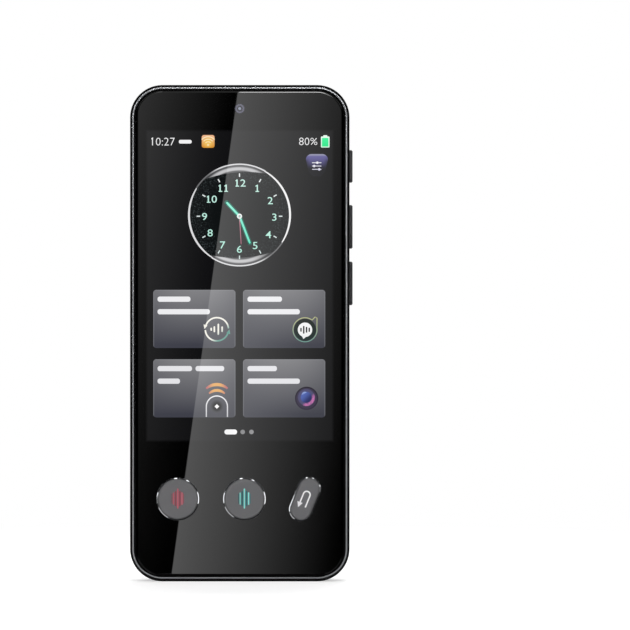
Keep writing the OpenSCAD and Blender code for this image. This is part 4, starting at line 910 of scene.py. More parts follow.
def faded_piece(name, shape, finish, first, second, low, high, axis=2):
    """A lit piece whose colour goes from first at low to second at high along one axis."""
    lit_piece(name, shape, finish,
              lambda f: f.fade(f.axes()[axis], low, high, first, second))


def display_ground():
    """The lit area itself: black that glows very slightly, lighter to its sides and top.

    The glow dies away over a soft border round the lit area.
    """
    half_across, half_down = DOTS_ACROSS * DOT / 2, DOTS_DOWN * DOT / 2
    border = 5.0

    def colour(f):
        x, _, z = f.axes()
        edge = abs(x + 4.0).ramp(2.0, 24.0) * 0.8 + (z - 80.0).ramp(0.0, 60.0) * 0.2
        glow = f.blend(edge, (15, 15, 17), (26, 26, 27))
        inside = (half_across - abs(x)).at_most(half_down - abs(z - (SCREEN_TOP - half_down)))
        return f.blend(inside.ramp(-border * DOT, border * DOT), (0, 0, 0), glow)
    lit_piece("display_ground",
              lit(rounded(-border, -border, DOTS_ACROSS + border, DOTS_DOWN + border, 1.0), 1),
              "display_glow", colour)


def status_row():
    """Clock figures and a radio sign on the left, charge figures and a battery on the right."""
    thin = -0.012
    white = joined(
        digits("10:27", 14, 18.5, 20.0, 3, thin), digits("80", 393, 18.2, 19.5, 3, thin),
        drawn([(424, 36.5), (438, 19.5)], 1.9, 3), drawn([(16.2, 18.6), (12.4, 22.0)], 2.3, 3),
        drawn(circle(426.5, 23.0, 3.4, 24), 1.5, 3, closed=True),
        drawn(circle(435.8, 33.0, 3.4, 24), 1.5, 3, closed=True),
        lit(rounded(83, 24.0, 116, 33.5, 4.2), 3))
    faded_piece("status_figures", white, "status_white",
                (236, 236, 238), (246, 246, 246), 118, 125)
    sign_u = 158.5
    sign_x, sign_z = screen_point(sign_u, 30.0)

    def amber(f):
        _, _, z = f.axes()
        edge = f.blend((z - sign_z).ramp(-1.8, 1.8), (214, 142, 40), (236, 180, 138))
        return f.blend(f.away(sign_x, sign_z).ramp(0.5, 2.0), (238, 192, 92), edge)
    lit_piece("radio_sign_ground", lit(rounded(142, 11.5, 175, 44.5, 6.0), 3),
              "radio_sign_amber", amber)
    waves = [drawn(arc(sign_u, 38.0, r, 222, 318), 2.6, 4) for r in (9.0, 15.5, 22.0)]
    span = (120.6, 124.2)
    faded_piece("radio_sign_waves", joined(lit(circle(sign_u, 37.0, 3.0, 20), 4), *waves),
                "radio_sign_cream", (246, 214, 150), (252, 234, 200), *span)
    faded_piece("battery_sign_case", joined(lit(rounded(449.3, 15.2, 471.5, 43.8, 2.2), 3),
                                            lit(rounded(455.5, 12.0, 465.7, 16.5, 1.5), 3)),
                "battery_sign_white", (206, 244, 222), (236, 250, 240), *span)
    faded_piece("battery_sign_charge", lit(rounded(452.1, 19.0, 468.7, 41.2, 1.5), 4),
                "battery_sign_green", (38, 226, 134), (70, 246, 164), *span)


def quick_settings_tab():
    """A violet tab that melts away downwards, with three slider lines and their knobs."""
    tab_u, tab_v, taper_v = 439.0, 60.5, 90.0
    tab_x, tab_top = screen_point(tab_u, tab_v)

    def violet(f):
        x, _, z = f.axes()
        depth, aside = tab_top - z, abs(x - tab_x)
        glow = depth.ramp(4.4, 0.4) * (1.0 - 0.75 * aside.ramp(1.6, 3.2) * depth.ramp(0.4, 2.4))
        shade = f.blend(glow, (32, 32, 36), (104, 100, 156))
        return f.blend(depth.ramp(0.75, 0.2), shade, (146, 146, 172))
    outline = rounded(410.5, tab_v, 467.5, 118.0, 15.0)
    u, v = outline.T
    outline[:, 0] = tab_u + (u - tab_u) * (1 - np.maximum(v - taper_v, 0.0) / 60)
    lit_piece("quick_tab_ground", lit(outline, 2), "quick_tab_violet", violet)
    marks = []
    for row, knob in zip((83.0, 91.5, 100.0), (440.0, 432.0, 445.0)):
        marks += [drawn([(426.5, row), (450.5, row)], 1.9, 4),
                  lit(circle(knob, row, 3.2, 20), 5)]
    faded_piece("quick_tab_sliders", joined(*marks), "quick_tab_white",
                (214, 212, 232), (246, 246, 250), 114, 117)


# Where the clock's figures stand: how far from the pivot and at what angle in degrees.
HOUR_PLACES = {12: (86, 4), 1: (85.5, 32.5), 2: (89, 63), 3: (91, 91.5), 4: (88, 122.5),
               5: (86, 151.5), 6: (85, 180), 7: (86, 210.5), 8: (87, 240.5),
               9: (90, 269.5), 10: (81, 303), 11: (81.5, 332.5)}
# Every figure one gets a foot and a flag: this far to the right of its hour's middle.
ONES_OF_HOUR = {1: [0.0], 10: [-11.6], 11: [-11.6, 3.2], 12: [-11.6]}


def hour_figures():
    """The hours as plain figures; the lone one is a drawn stem."""
    tall, foot_half, flag_side, flag_drop, flag_high = 18.6, 4.6, 4.4, 2.8, 16.0
    shapes = []
    for hour, (reach, angle) in HOUR_PLACES.items():
        turn = math.radians(angle)
        u = CLOCK_U + reach * math.sin(turn)
        v = PIVOT_V - reach * math.cos(turn)
        half = 14.0 if hour > 9 else 6.8
        if hour != 1:
            shapes.append(digits(str(hour), u - half, v - tall / 2, tall, 4, 0.003, 1.16))
        for aside in ONES_OF_HOUR.get(hour, []):
            stem, foot = u + aside, v + tall / 2 - 1.2
            flag = foot - flag_high
            shapes += [drawn([(stem - foot_half, foot), (stem + foot_half, foot)], 2.4, 5),
                       drawn([(stem - flag_side, flag + flag_drop), (stem, flag)], 2.6, 5)]
            if hour == 1:
                shapes.append(drawn([(u, foot + 1.2), (u, foot - 17.4)], 3.0, 4))
    return joined(*shapes)


def hand(toward_u, toward_v, width, layer, tail=0.0):
    """A hand from just past the pivot to its tip, with a rounded tip."""
    tip, centre = np.array([toward_u, toward_v]), np.array([CLOCK_U, PIVOT_V])
    start, end = centre - tip / np.linalg.norm(tip) * tail, centre + tip
    return joined(drawn([start, end], width, layer), lit(circle(*end, width / 2, 20), layer))


def crescent(start, stop, outer, width, layer):
    """A band inside a circle round the clock, widest halfway and pointed at both ends."""
    across = width * swell(72, 0.06, 0.8)
    turn = np.radians(np.linspace(start, stop, 72))
    return drawn(polar(CLOCK_U, CLOCK_V, outer - across / 2, turn), across, layer)


def clock_arcs(radius, spans, width):
    """Arcs of 64 points round the clock, each from one angle to another."""
    return joined(*[drawn(arc(CLOCK_U, CLOCK_V, radius, *span, 64), width, 4) for span in spans])


def clock_face():
    """Round clock: speckled ground, glassy ring, hour ticks, figures and three hands."""
    clock_x, clock_z = screen_point(CLOCK_U, CLOCK_V)
    over_face, over_hands = (clock_z - 14, clock_z + 14), (clock_z - 8, clock_z + 4)

    def speckled(f):
        grains = f.cells(4.4).ramp(0.42, 0.2) * f.noise(2.0, 3.0).ramp(0.42, 0.62)
        rim = (f.away(clock_x, clock_z) / DOT).ramp(62.0, 118.0)
        return f.blend(grains * rim, (14, 17, 18), (84, 94, 96))
    lit_piece("clock_ground", lit(circle(CLOCK_U, CLOCK_V, CLOCK_RADIUS, 96), 2),
              "clock_speckle", speckled)

    def glassy(f):
        x, _, _ = f.axes()
        radius = f.away(clock_x, clock_z) / DOT
        belly = radius.ramp(113.0, 117.5) * radius.ramp(126.0, 121.0)
        grey = f.blend(belly, (88, 88, 90), (196, 196, 198))
        return f.blend(abs(x - clock_x + 1.0).ramp(4.0, 10.0) * 0.8, grey, (40, 41, 43))
    lit_piece("clock_glass_bands", joined(crescent(-134, -56, 130.0, 20.0, 3),
                                          crescent(48, 126, 130.0, 20.0, 3)),
              "clock_band_glass", glassy)
    faded_piece("clock_ring",
                clock_arcs(130.3, ((-60, 33), (122, 212)), 5.1 * swell(64, 0.45, 0.6)),
                "clock_ring_white", (222, 222, 224), (248, 248, 248),
                clock_x - 14, clock_x + 14, axis=0)

    def silver(f):
        x, _, z = f.axes()
        side = (x - clock_x) * (z - clock_z).maths("SIGN")
        return f.blend(side.ramp(-9.0, -5.0), (112, 112, 114), (222, 222, 224))
    lit_piece("clock_ring_thin", clock_arcs(CLOCK_RADIUS, ((-149, -59), (32, 123)), 3.3),
              "clock_ring_silver", silver)

    pivot, near, far = np.array([CLOCK_U, PIVOT_V]), 101.5, 110.5
    ticks = [drawn([pivot + ray * near, pivot + ray * far], 2.9, 4)
             for ray in polar(0.0, 0.0, 1.0, np.radians(np.arange(-90, 270, 30)))]
    faded_piece("clock_ticks", joined(*ticks), "clock_tick_white",
                (206, 224, 222), (236, 240, 240), *over_face)
    faded_piece("clock_figures", hour_figures(), "clock_figure_mint",
                (174, 234, 216), (206, 244, 232), *over_face)
    faded_piece("clock_hands", joined(hand(-31.8, -34.2, 5.3, 5), hand(26.3, 67.8, 5.1, 5)),
                "clock_hand_mint", (100, 226, 194), (140, 240, 214), *over_hands)
    faded_piece("clock_second_hand", hand(4.2, 71.0, 1.9, 6, tail=4.0), "clock_second_pink",
                (176, 104, 126), (204, 138, 156), clock_z - 8, clock_z + 1)
    faded_piece("clock_hand_glow",
                joined(hand(-33.1, -35.6, 11.4, 4), hand(26.9, 69.5, 11.0, 4)),
                "clock_glow_green", (16, 86, 74), (20, 104, 88), *over_hands)
    faded_piece("clock_hub", drawn(circle(CLOCK_U, PIVOT_V, 4.9, 32), 3.5, 7, closed=True),
                "clock_hub_white", (232, 236, 236), (250, 250, 250), clock_z - 1, clock_z + 1)


def tile_grounds():
    """Four frosted tiles: pale at the top middle, bluish and dark along the foot.

    Across and down are shares of a tile's width and height, the same on every tile.
    """
    def share_of(dots, starts, size):
        past = (dots - starts[0]).at_least(0.0)
        return (past.maths("MODULO", starts[1] - starts[0]) / size).at_most(1.0)

    def frosted(f):
        x, _, z = f.axes()
        across = share_of((x - SCREEN_LEFT) / DOT, TILE_LEFT, TILE_WIDE)
        down = share_of((SCREEN_TOP - z) / DOT, TILE_TOP, TILE_HIGH)
        aside = (across * 2.0 - 1.0) ** 2
        share = (down * 1.06).at_most(1.0)
        shade = f.blend(share + (1.0 - share) * aside * 0.38, (130, 130, 133), (62, 63, 73))
        beside_edge = (x + 9.0).ramp(-3.0, 3.0) * x.ramp(20.0, 0.0)
        shade = f.blend(beside_edge * down * 0.3, shade, (96, 97, 104))
        rim = abs(across - 0.5).ramp(0.486, 0.494).at_least(down.ramp(0.02, 0.008))
        return f.blend(rim * 0.3, shade, (150, 151, 156))
    tiles = [lit(rounded(u, v, u + TILE_WIDE, v + TILE_HIGH, 8.0), 2)
             for u in TILE_LEFT for v in TILE_TOP]
    lit_piece("tile_grounds", joined(*tiles), "tile_frost", frosted)


def tile_captions():
    """Plain bars in place of words, two rows on each tile: tile row, bar row, left, right."""
    half_high, first_row, row_step = 6.75, 24.0, 32.4
    bars = []
    for down, line, left, right in ((0, 0, 28, 113), (0, 1, 28, 163), (0, 0, 260, 349),
                                    (0, 1, 260, 395), (1, 0, 28, 117), (1, 0, 126, 200),
                                    (1, 1, 28, 86), (1, 0, 260, 336), (1, 1, 260, 395)):
        v = TILE_TOP[down] + first_row + line * row_step
        bars.append(lit(rounded(left, v - half_high, right, v + half_high, 6.0), 3))
    faded_piece("tile_captions", joined(*bars), "caption_white",
                (222, 222, 226), (244, 244, 246), 45, 92)


def speech_sign():
    """Bars inside two arrows that turn round them, greenish at the lower right."""
    u, v, loop_radius, point = 181.1, 512.4, 30.0, np.array([0.0, 130.0, 230.0])
    sign_x, sign_z = screen_point(u, v)
    loop = [drawn(arc(u, v, loop_radius, 192, 356), 4.0, 3),
            drawn(arc(u, v, loop_radius, 12, 176), 4.0, 3),
            lit(polar(u - 30.5, v - 7.0, 6.8, np.radians(105 + point)), 3),
            lit(polar(u + 30.5, v + 7.0, 6.8, np.radians(285 + point)), 3)]
    bars = upright_bars(u, v, 2.1, 2.0, 3, ((-14.7, 8), (-6.6, 15.5), (3.7, 29), (13.6, 14.7)))

    def turning_green(f):
        x, _, z = f.axes()
        corner = ((x - sign_x) - (z - sign_z)).ramp(0.6, 3.9)
        return f.blend(corner, (244, 242, 232), (104, 158, 146))
    lit_piece("speech_sign", joined(*loop, *bars), "speech_sign_white", turning_green)


def bubble_sign():
    """A speech bubble with bars in it, on a dark disc with a greenish rim."""
    u, v, span = 408.3, 513.7, (66.5, 73.5)
    faded_piece("bubble_sign_ground", lit(circle(u, v, 28.5), 3), "bubble_sign_dark",
                (20, 44, 42), (36, 40, 36), *span)
    rim = np.vstack([arc(u, v, 31.0, -8, 306, 72), [(u + 26.0, v - 33.0), (u + 31.0, v - 30.0)]])
    faded_piece("bubble_sign_rim", drawn(rim, 2.2, 4, closed=True), "bubble_sign_green",
                (110, 158, 148), (192, 194, 140), *span)
    tail = lit([(u - 9.0, v + 14.0), (u + 7.0, v + 14.0), (u - 4.0, v + 24.0)], 4)
    faded_piece("bubble_sign_disc", joined(lit(circle(u, v, 18.6, 48), 5), tail),
                "bubble_sign_white", (236, 238, 238), (250, 250, 250), *span)
    bars = upright_bars(u, v, 1.9, 1.6, 6, ((-10.4, 10), (-3.2, 20), (4.0, 15), (11.0, 11)))
    faded_piece("bubble_sign_bars", joined(*bars), "bubble_sign_ink",
                (8, 12, 12), (20, 24, 23), *span)


def beacon_sign():
    """Two waves over a rounded arch with a small diamond in a soft halo."""
    u, arch_radius, foot_v, dot_v = 181.1, 27.2, 738.5, 711.5
    dot_x, dot_z = screen_point(u, dot_v)

    def glowing(f):
        x, _, _ = f.axes()
        return f.blend(abs(x - dot_x).ramp(0.7, 3.1), (228, 172, 104), (184, 104, 112))
    waves = [drawn(arc(u, 697.0, 42.0, 229, 311), 8.4 * swell(40, 0.55), 3),
             drawn(arc(u, 699.0, 29.0, 226, 314), 7.4 * swell(40, 0.55), 3)]
    lit_piece("beacon_sign_waves", joined(*waves), "beacon_sign_orange", glowing)
    arch = np.vstack([[(u - arch_radius, foot_v)], arc(u, 711.6, arch_radius, 180, 360, 48),
                      [(u + arch_radius, foot_v)]])
    faded_piece("beacon_sign_arch", drawn(arch, 3.0, 3), "beacon_sign_white",
                (200, 200, 204), (244, 244, 246), 45.5, 52.0)
    lit_piece("beacon_sign_halo", lit(circle(u, dot_v, 16.5, 48), 3), "beacon_sign_shade",
              lambda f: f.blend(f.away(dot_x, dot_z).ramp(0.8, 1.75), (26, 26, 29), (74, 75, 80)))
    faded_piece("beacon_sign_dot", lit(circle(u, dot_v, 6.0, 4), 4), "beacon_sign_bright",
                (244, 244, 246), (252, 252, 252), 47, 49)


def lens_sign():
    """A round lens: blue ball, pink speckled blush at the lower right and one glint."""
    u, v = 412.5, 690.4
    lens_x, lens_z = screen_point(u, v)

    def iris(f):
        x, _, z = f.axes()
        side, rise = x - lens_x + 0.1, z - lens_z - 0.25
        radius = diagonal(side, rise)
        ball = f.blend((side - rise).ramp(-1.6, 1.6), (78, 98, 172), (38, 44, 98))
        ball = f.blend(radius.ramp(1.35, 1.75), ball, (78, 76, 112))
        foil = f.noise(3.0, 2.0).ramp(0.35, 0.65)
        blush = radius.ramp(1.4, 1.8) * radius.ramp(2.6, 2.2) * (side - rise).ramp(0.6, 2.0)
        ball = f.blend(blush * (0.45 + 0.5 * foil), ball, (206, 116, 178))
        return f.blend(radius.ramp(2.1, 2.5) * (1.0 - blush), ball, (58, 52, 72))
    lit_piece("lens_sign_glass", lit(circle(u, v, 28.0), 3), "lens_sign_iris", iris)
    faded_piece("lens_sign_rim", drawn(circle(u, v, 28.4), 3.2, 4, closed=True),
                "lens_sign_violet", (50, 44, 62), (34, 30, 44), lens_z - 3, lens_z + 3)
    glint = drawn(arc(u - 1.0, v - 2.4, 13.0, 205, 275, 24), 5.0 * swell(24), 4)
    faded_piece("lens_sign_glint", glint, "lens_sign_sheen",
                (92, 112, 184), (150, 172, 222), lens_z + 0.6, lens_z + 2.0)


def page_marks():
    """The wide mark of the first page and the two round marks of the others."""
    v, radius = 777.2, 5.9
    faded_piece("page_mark_first", lit(rounded(200.5, 770.8, 233.2, 783.6, 6.2), 3),
                "page_mark_white", (238, 238, 240), (250, 250, 250),
                SCREEN_LEFT + 21, SCREEN_LEFT + 26, axis=0)
    faded_piece("page_marks_other", joined(lit(circle(247.6, v, radius, 32), 3),
                                           lit(circle(270.2, v, radius, 32), 3)),
                "page_mark_grey", (132, 132, 134), (146, 146, 148),
                SCREEN_LEFT + 26, SCREEN_LEFT + 30, axis=0)


# ---- printed marks on the front keys -------------------------------------------


def ink(name, first, second, low, high):
    """Screen-printed ink: slight speckle in the colour and a satin skin."""
    f = Coat(name, specular_ior_level=0.4)
    x, _, _ = f.axes()
    speck = f.noise(9.0, 2.0)
    colour = f.fade(x, low, high, first, second)
    return f.put(base_color=f.blend(speck.ramp(0.5, 0.9) * 0.25, colour, (60, 60, 62)),
                 roughness=0.4 + 0.12 * speck)


def print_of(node):
    """Front and back depth of a mark that is printed on the front of a key."""
    front = extent(node)[0][1]
    return front - MARK_HIGH, front + MARK_SUNK


def sound_bars(name, node, bright, deep):
    """Upright bars on a round key: bright ones, with deeper ones between and beside them."""
    pitch, reach, lift = 0.58, 1.4, 0.18
    x, z = middle_of(node) + (0.0, lift)

    def printed(piece_name, ink_name, colour, shares, bars):
        """Bars given by step, height and width, in a colour that brightens to the right."""
        shapes = [plate(rounded(x + step * pitch - wide / 2, z - tall / 2,
                                x + step * pitch + wide / 2, z + tall / 2,
                                wide / 2 - 0.01), *print_of(node)) for step, tall, wide in bars]
        ends = [[min(255, part * share) for part in colour] for share in shares]
        piece(piece_name, joined(*shapes), ink(ink_name, *ends, x - reach, x + reach),
              body=node)
    printed(name, name + "_ink", bright, (0.9, 1.06),
            ((-2, 3.4, 0.38), (0, 5.6, 0.42), (2, 3.5, 0.38)))
    printed(name + "_between", name + "_deep_ink", deep, (0.92, 1.08),
            ((-1, 4.2, 0.42), (1, 4.3, 0.42), (-2.78, 2.8, 0.2), (2.78, 2.8, 0.2)))


def return_arrow():
    """A return arrow along the pill key: a hooked line and a filled head."""
    centre = middle_of("back_key")
    axis = np.array([math.cos(KEY_LEAN), math.sin(KEY_LEAN)])
    across = np.array([-math.sin(KEY_LEAN), math.cos(KEY_LEAN)])
    half_gap, bend_at, thick = 0.95, 1.35, 0.42

    def lay(path):
        """Own length and height along the leaning key to the front's x and z."""
        path = np.asarray(path)
        return centre + path[:, :1] * axis + path[:, 1:] * across
    bend = arc(bend_at, 0.0, half_gap, -90, 90, 20)
    hook = np.vstack([[(-1.3, half_gap)], bend[::-1], [(-2.1, -half_gap)]])
    line = ribbon(lay(hook), thick, *print_of("back_key"))
    head = plate(lay([(-2.75, half_gap), (-1.2, 1.75), (-1.2, 0.15)]), *print_of("back_key"))
    material = ink("return_arrow_ink", (236, 236, 238), (250, 250, 250), 16, 20)
    piece("return_arrow", joined(line, head), material, body="back_key")


# ---- rings round the keys, snap domes and the small eye above the screen -----------


def carried(profile, path, outward):
    """A closed section carried along a closed path: path + across * outward, at a depth.

    The path runs anticlockwise seen from the front and the section runs from the
    inner foot over the top to the outer foot, so the faces point outwards.
    """
    across, depth = np.asarray(profile, dtype=float).T
    flat = path[:, None, :] + across[None, :, None] * outward[:, None, :]
    points = np.stack([flat[..., 0], np.broadcast_to(depth, flat.shape[:2]), flat[..., 1]],
                      axis=-1)
    steps, turns = np.meshgrid(np.arange(len(path)), np.arange(len(depth)), indexing="ij")
    steps_on, turns_on = (steps + 1) % len(path), (turns + 1) % len(depth)
    corner = lambda i, j: (i * len(depth) + j).ravel()
    faces = np.stack([corner(steps, turns), corner(steps, turns_on),
                      corner(steps_on, turns_on), corner(steps_on, turns)], axis=1)
    return points.reshape(-1, 3), faces.tolist()


def capsule(centre, reach, radius, lean):
    """A round-ended slot outline and its outward normals; reach 0 gives a circle.

    Each point is the end's centre, at plus or minus reach, and a radius turned by
    an angle; the outline is then leaned and moved.
    """
    points = 128
    turn = np.linspace(-math.pi / 2, 1.5 * math.pi, points, endpoint=False) + math.pi / points
    normal = polar(0.0, 0.0, 1.0, turn)
    path = normal * radius
    path[:, 0] += np.where(np.cos(turn) > 0, reach, -reach)
    cosine, sine = math.cos(lean), math.sin(lean)
    spin = np.array([[cosine, sine], [-sine, cosine]])
    return path @ spin + centre, normal @ spin


def turned(profile):
    """A solid of revolution: radius times the cosine and sine of a turn, at a height.

    The profile starts and ends on the axis, where one point closes the pole.
    """
    radius, height = np.asarray(profile, dtype=float).T
    rings = 48
    turn = np.linspace(0.0, math.tau, rings, endpoint=False)
    inner, level = radius[1:-1, None], height[1:-1, None]
    band = np.stack([inner * np.cos(turn), inner * np.sin(turn),
                     np.broadcast_to(level, (len(inner), rings))], axis=-1).reshape(-1, 3)
    points = np.vstack([band, [(0.0, 0.0, height[0]), (0.0, 0.0, height[-1])]])
    here = np.arange(rings)
    there = (here + 1) % rings
    rows = np.arange(len(inner) - 1)[:, None] * rings
    quads = np.stack([rows + here, rows + rings + here, rows + rings + there, rows + there],
                     axis=-1).reshape(-1, 4)
    last, top, foot = (len(inner) - 1) * rings, len(band), len(band) + 1
    faces = quads.tolist() + np.stack([np.full(rings, top), here, there], axis=1).tolist()
    faces += np.stack([last + there, last + here, np.full(rings, foot)], axis=1).tolist()
    return points, faces


def creased(mesh, degrees):
    """Smooth faces with sharp edges wherever two faces meet at more than an angle."""
    mesh.shade_smooth()
    mesh.set_sharp_from_angle(angle=math.radians(degrees))


def key_ring_trim():
    """Chrome rings that slope outwards to the glass, one round each front key."""
    low, high = extent("key_rings")
    half, drop = RING_WIDTH / 2, RING_WIDTH * math.tan(RING_SLOPE)
    top, foot = low[1], high[1]
    section = [(-half, foot), (-half, top + 0.015), (-half + RING_EDGE, top),
               (half - RING_EDGE, top + drop - RING_EDGE), (half, top + drop), (half, foot)]
    rings = []
    for node in FRONT_KEYS:
        form = (PILL_REACH, PILL_RING, KEY_LEAN) if node == "back_key" else (0.0, ROUND_RING, 0.0)
        rings.append(carried(section, *capsule(middle_of(node), *form)))
    made = piece("key_ring_trim", joined(*rings), key_ring_chrome())
    creased(made.data, 20)
    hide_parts("key_rings")


def snap_domes():
    """Six sprung steel domes under their keys.

    The height of the sheet falls from a flat crown to the rim by half a cosine, and
    its underside lies one sheet lower, down to the board it stands on.  The front
    domes rise towards the front, which is minus y, and the others to the right.
    """
    steel = dome_steel()
    out = np.linspace(0.0, 1.0, 20)
    fall = 0.5 + 0.5 * np.cos(math.pi * np.clip((out - DOME_CROWN) / (1 - DOME_CROWN), 0, 1))
    for key in ("left", "middle", "back", "power", "upper", "lower"):
        node = key + "_key_dome"
        low, high = extent(node)
        if key in ("left", "middle", "back"):
            up, aside, toward, base = 1, 0, -1, high[1]
        else:
            up, aside, toward, base = 0, 1, 1, low[0]
        tall, radius = high[up] - low[up], (high[2] - low[2]) / 2
        over = np.stack([out * radius, tall * fall], axis=1)
        under = np.stack([out * (radius - DOME_SHEET),
                          np.maximum(tall * fall - DOME_SHEET, 0.0)], axis=1)[::-1]
        points, faces = turned(np.vstack([over, under]))
        anchor = (low + high) / 2
        anchor[up] = base
        places = np.empty_like(points)
        places[:, up] = base + toward * points[:, 2]
        places[:, aside] = anchor[aside] + points[:, 0]
        places[:, 2] = anchor[2] + points[:, 1]
        made = piece(key + "_snap_dome", (places, faces), steel)
        creased(made.data, 30)
        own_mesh(made)
        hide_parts(node)


def front_camera_eye():
    """The small camera behind the glass: a violet coated eye in a dark ring, with a painted glint
    at its middle and a faint painted glow.
    """
    x0, z0 = middle_of("front_camera_lens")
    # The emission is a painted glow; the eye is no lamp.
    f = Coat("front_eye_glass", ior=1.5, roughness=0.02, emission_strength=0.35)
    radius = f.away(x0, z0)
    # The pale middle is a painted glint.
    glass = f.blend(radius.ramp(0.25, 0.55), (128, 134, 150), (16, 16, 24))
    glass = f.blend(radius.ramp(0.6, 0.95), glass, (84, 84, 100))
    glass = f.blend(radius.ramp(1.1, 1.4), glass, (20, 20, 24))
    piece("front_camera_eye", plate(circle(x0, z0, CAMERA_EYE), *rise_of(1)),
          f.put(base_color=glass, emission_color=glass))


# ---- studio -----------------------------------------------------------------------

WHITE = (1, 1, 1, 1)
CAMERA_X, CAMERA_Z = 0.02091, 0.07406
CAMERA_AWAY = 0.97242
CARD_SHARE = 0.6


def placed(name, data, location, turn=(0.0, 0.0, 0.0)):
    """Links an object of the studio to the scene."""
    made = bpy.data.objects.new(name, data)
    bpy.context.scene.collection.objects.link(made)
    made.location, made.rotation_euler = location, turn
    return made


def camera_view():
    """A long lens square to the front, level with the middle of the picture."""
    data = bpy.data.cameras.new("front_camera_view")
    data.lens, data.sensor_width = 200.0, 36.0
    data.clip_start, data.clip_end = 0.01, 20.0
    bpy.context.scene.camera = placed(
        "front_camera_view", data, (CAMERA_X, glass_front * MM - CAMERA_AWAY, CAMERA_Z),
        (math.pi / 2, 0.0, 0.0))


def studio_world():
    """White to the camera, plain and even to matt surfaces, dark front and back to gloss."""
    f = Finish(bpy.data.worlds.new("studio_world"))
    bpy.context.scene.world = f.owner
    _, y, z = f.axes(f.node("ShaderNodeTexCoord", out="Generated"))
    seen = f.node("ShaderNodeLightPath", out="Is Camera Ray")
    glossy = f.node("ShaderNodeLightPath", out="Is Glossy Ray")
    even, low_wall, wall_gain, front_level = 0.22, 0.62, 0.35, 0.015
    dark_front = (-y).ramp(0.05, 0.55)
    wall = (low_wall + wall_gain * z.ramp(-0.2, 0.8)) * (1.0 - 0.7 * y.ramp(0.25, 0.75))
    mirrored = wall * (1.0 - dark_front) + front_level * dark_front
    level = even * (1.0 - glossy) + mirrored * glossy
    level = level * (1.0 - seen) + seen
    shade = f.node("ShaderNodeBackground", None, {"Color": WHITE, "Strength": level})
    f.node("ShaderNodeOutputWorld", None, {"Surface": shade})


def emission(f, level):
    """White light of a level that a finish may have worked out."""
    return f.node("ShaderNodeEmission", None, {"Color": WHITE, "Strength": level})


def stage_sheet(name, corners, f, surface):
    """One face of the studio, with its shader; corners are in metres."""
    f.node("ShaderNodeOutputMaterial", None, {"Surface": surface})
    mesh = bpy.data.meshes.new(name)
    mesh.from_pydata(corners, [], [(0, 1, 2, 3)])
    mesh.materials.append(f.owner)
    made = placed(name, mesh, (0.0, 0.0, 0.0))
    made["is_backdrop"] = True
    return made


def lit_card(name, corners, f, level):
    """A lit sheet that is hidden from everything but mirror rays."""
    card = stage_sheet(name, corners, f, emission(f, level))
    for ray in ("camera", "diffuse", "transmission", "volume_scatter", "shadow"):
        setattr(card, "visible_" + ray, False)


def studio_floor():
    """White floor that keeps the shadow near the object and is pure white far off."""
    f = Finish(bpy.data.materials.new("studio_floor_white"))
    x, y, _ = f.axes()
    seen = f.node("ShaderNodeLightPath", out="Is Camera Ray")
    paper = f.node("ShaderNodeBsdfDiffuse", None, {"Color": (0.8, 0.8, 0.8, 1)})
    near = f.node("ShaderNodeAddShader", None, {0: paper, 1: emission(f, seen * 0.45)})
    share = diagonal(x, y).ramp(90.0, 260.0) * seen
    surface = f.node("ShaderNodeMixShader", None, {0: share, 1: near, 2: emission(f, 1.0)})
    half, under = 4.0, -0.02 * MM
    floor = stage_sheet("studio_floor", [(-half, -half, under), (half, -half, under),
                                         (half, half, under), (-half, half, under)], f, surface)
    floor.visible_glossy = False


def slanted_card():
    """A lit card seen only in gloss: bright at a slanted edge, fading to both sides.

    A point (x, z) of the glass mirrors the card at x + k (x - camera x) and
    z + k (z - camera z), where k is the card's distance as a share of the camera's.
    Above what the glass mirrors it lights the rims that lean upwards, and two glints
    at its top light the tops of the key rings.
    """
    k = CARD_SHARE
    top_x, top_z, foot_x, foot_z = -0.51, 136.2, -18.9, 2.2
    mirror_x = lambda x: x + k * (x - CAMERA_X / MM)
    mirror_z = lambda z: z + k * (z - CAMERA_Z / MM)
    slope = (mirror_x(top_x) - mirror_x(foot_x)) / (mirror_z(top_z) - mirror_z(foot_z))
    f = Finish(bpy.data.materials.new("slanted_card_light"))
    bright_level, bright_reach, dim_level, dim_reach = 2.08, 74.4, 0.5, 36.5
    x, _, z = f.axes()
    edge = mirror_x(top_x) + slope * (z.at_most(mirror_z(top_z)) - mirror_z(top_z))
    past = x - edge
    right = past.ramp(-0.2, 0.2)
    bright = bright_level * (1.0 - past / bright_reach).at_least(0.0) ** 1.55
    dim = dim_level * (past / -dim_reach).at_least(0.0).at_most(1.3) ** 1.4
    dim = dim * (0.41 + 0.004 * z).at_least(0.15).at_most(1.2)
    below_glints = z.ramp(440.0, 400.0)
    upper = z.ramp(190.0, 260.0) * below_glints
    glint = abs(x + 113.0).ramp(48.0, 30.0) + abs(x - 243.0).ramp(42.0, 26.0) * 0.8
    level = right * (bright + 30.0 * upper)
    level = level + (1.0 - right) * (dim * (1.0 - upper) + 1.2 * upper)
    level = level * (1.0 - past.ramp(70.0, 120.0)) * below_glints
    level = level + 2.6 * glint * z.ramp(430.0, 460.0)
    depth = glass_front * MM - k * CAMERA_AWAY
    (low_x, high_x), (low_z, high_z) = (-0.16, 0.3), (-0.12, 1.2)
    lit_card("slanted_card", [(low_x, depth, low_z), (low_x, depth, high_z),
                              (high_x, depth, high_z), (high_x, depth, low_z)], f, level)


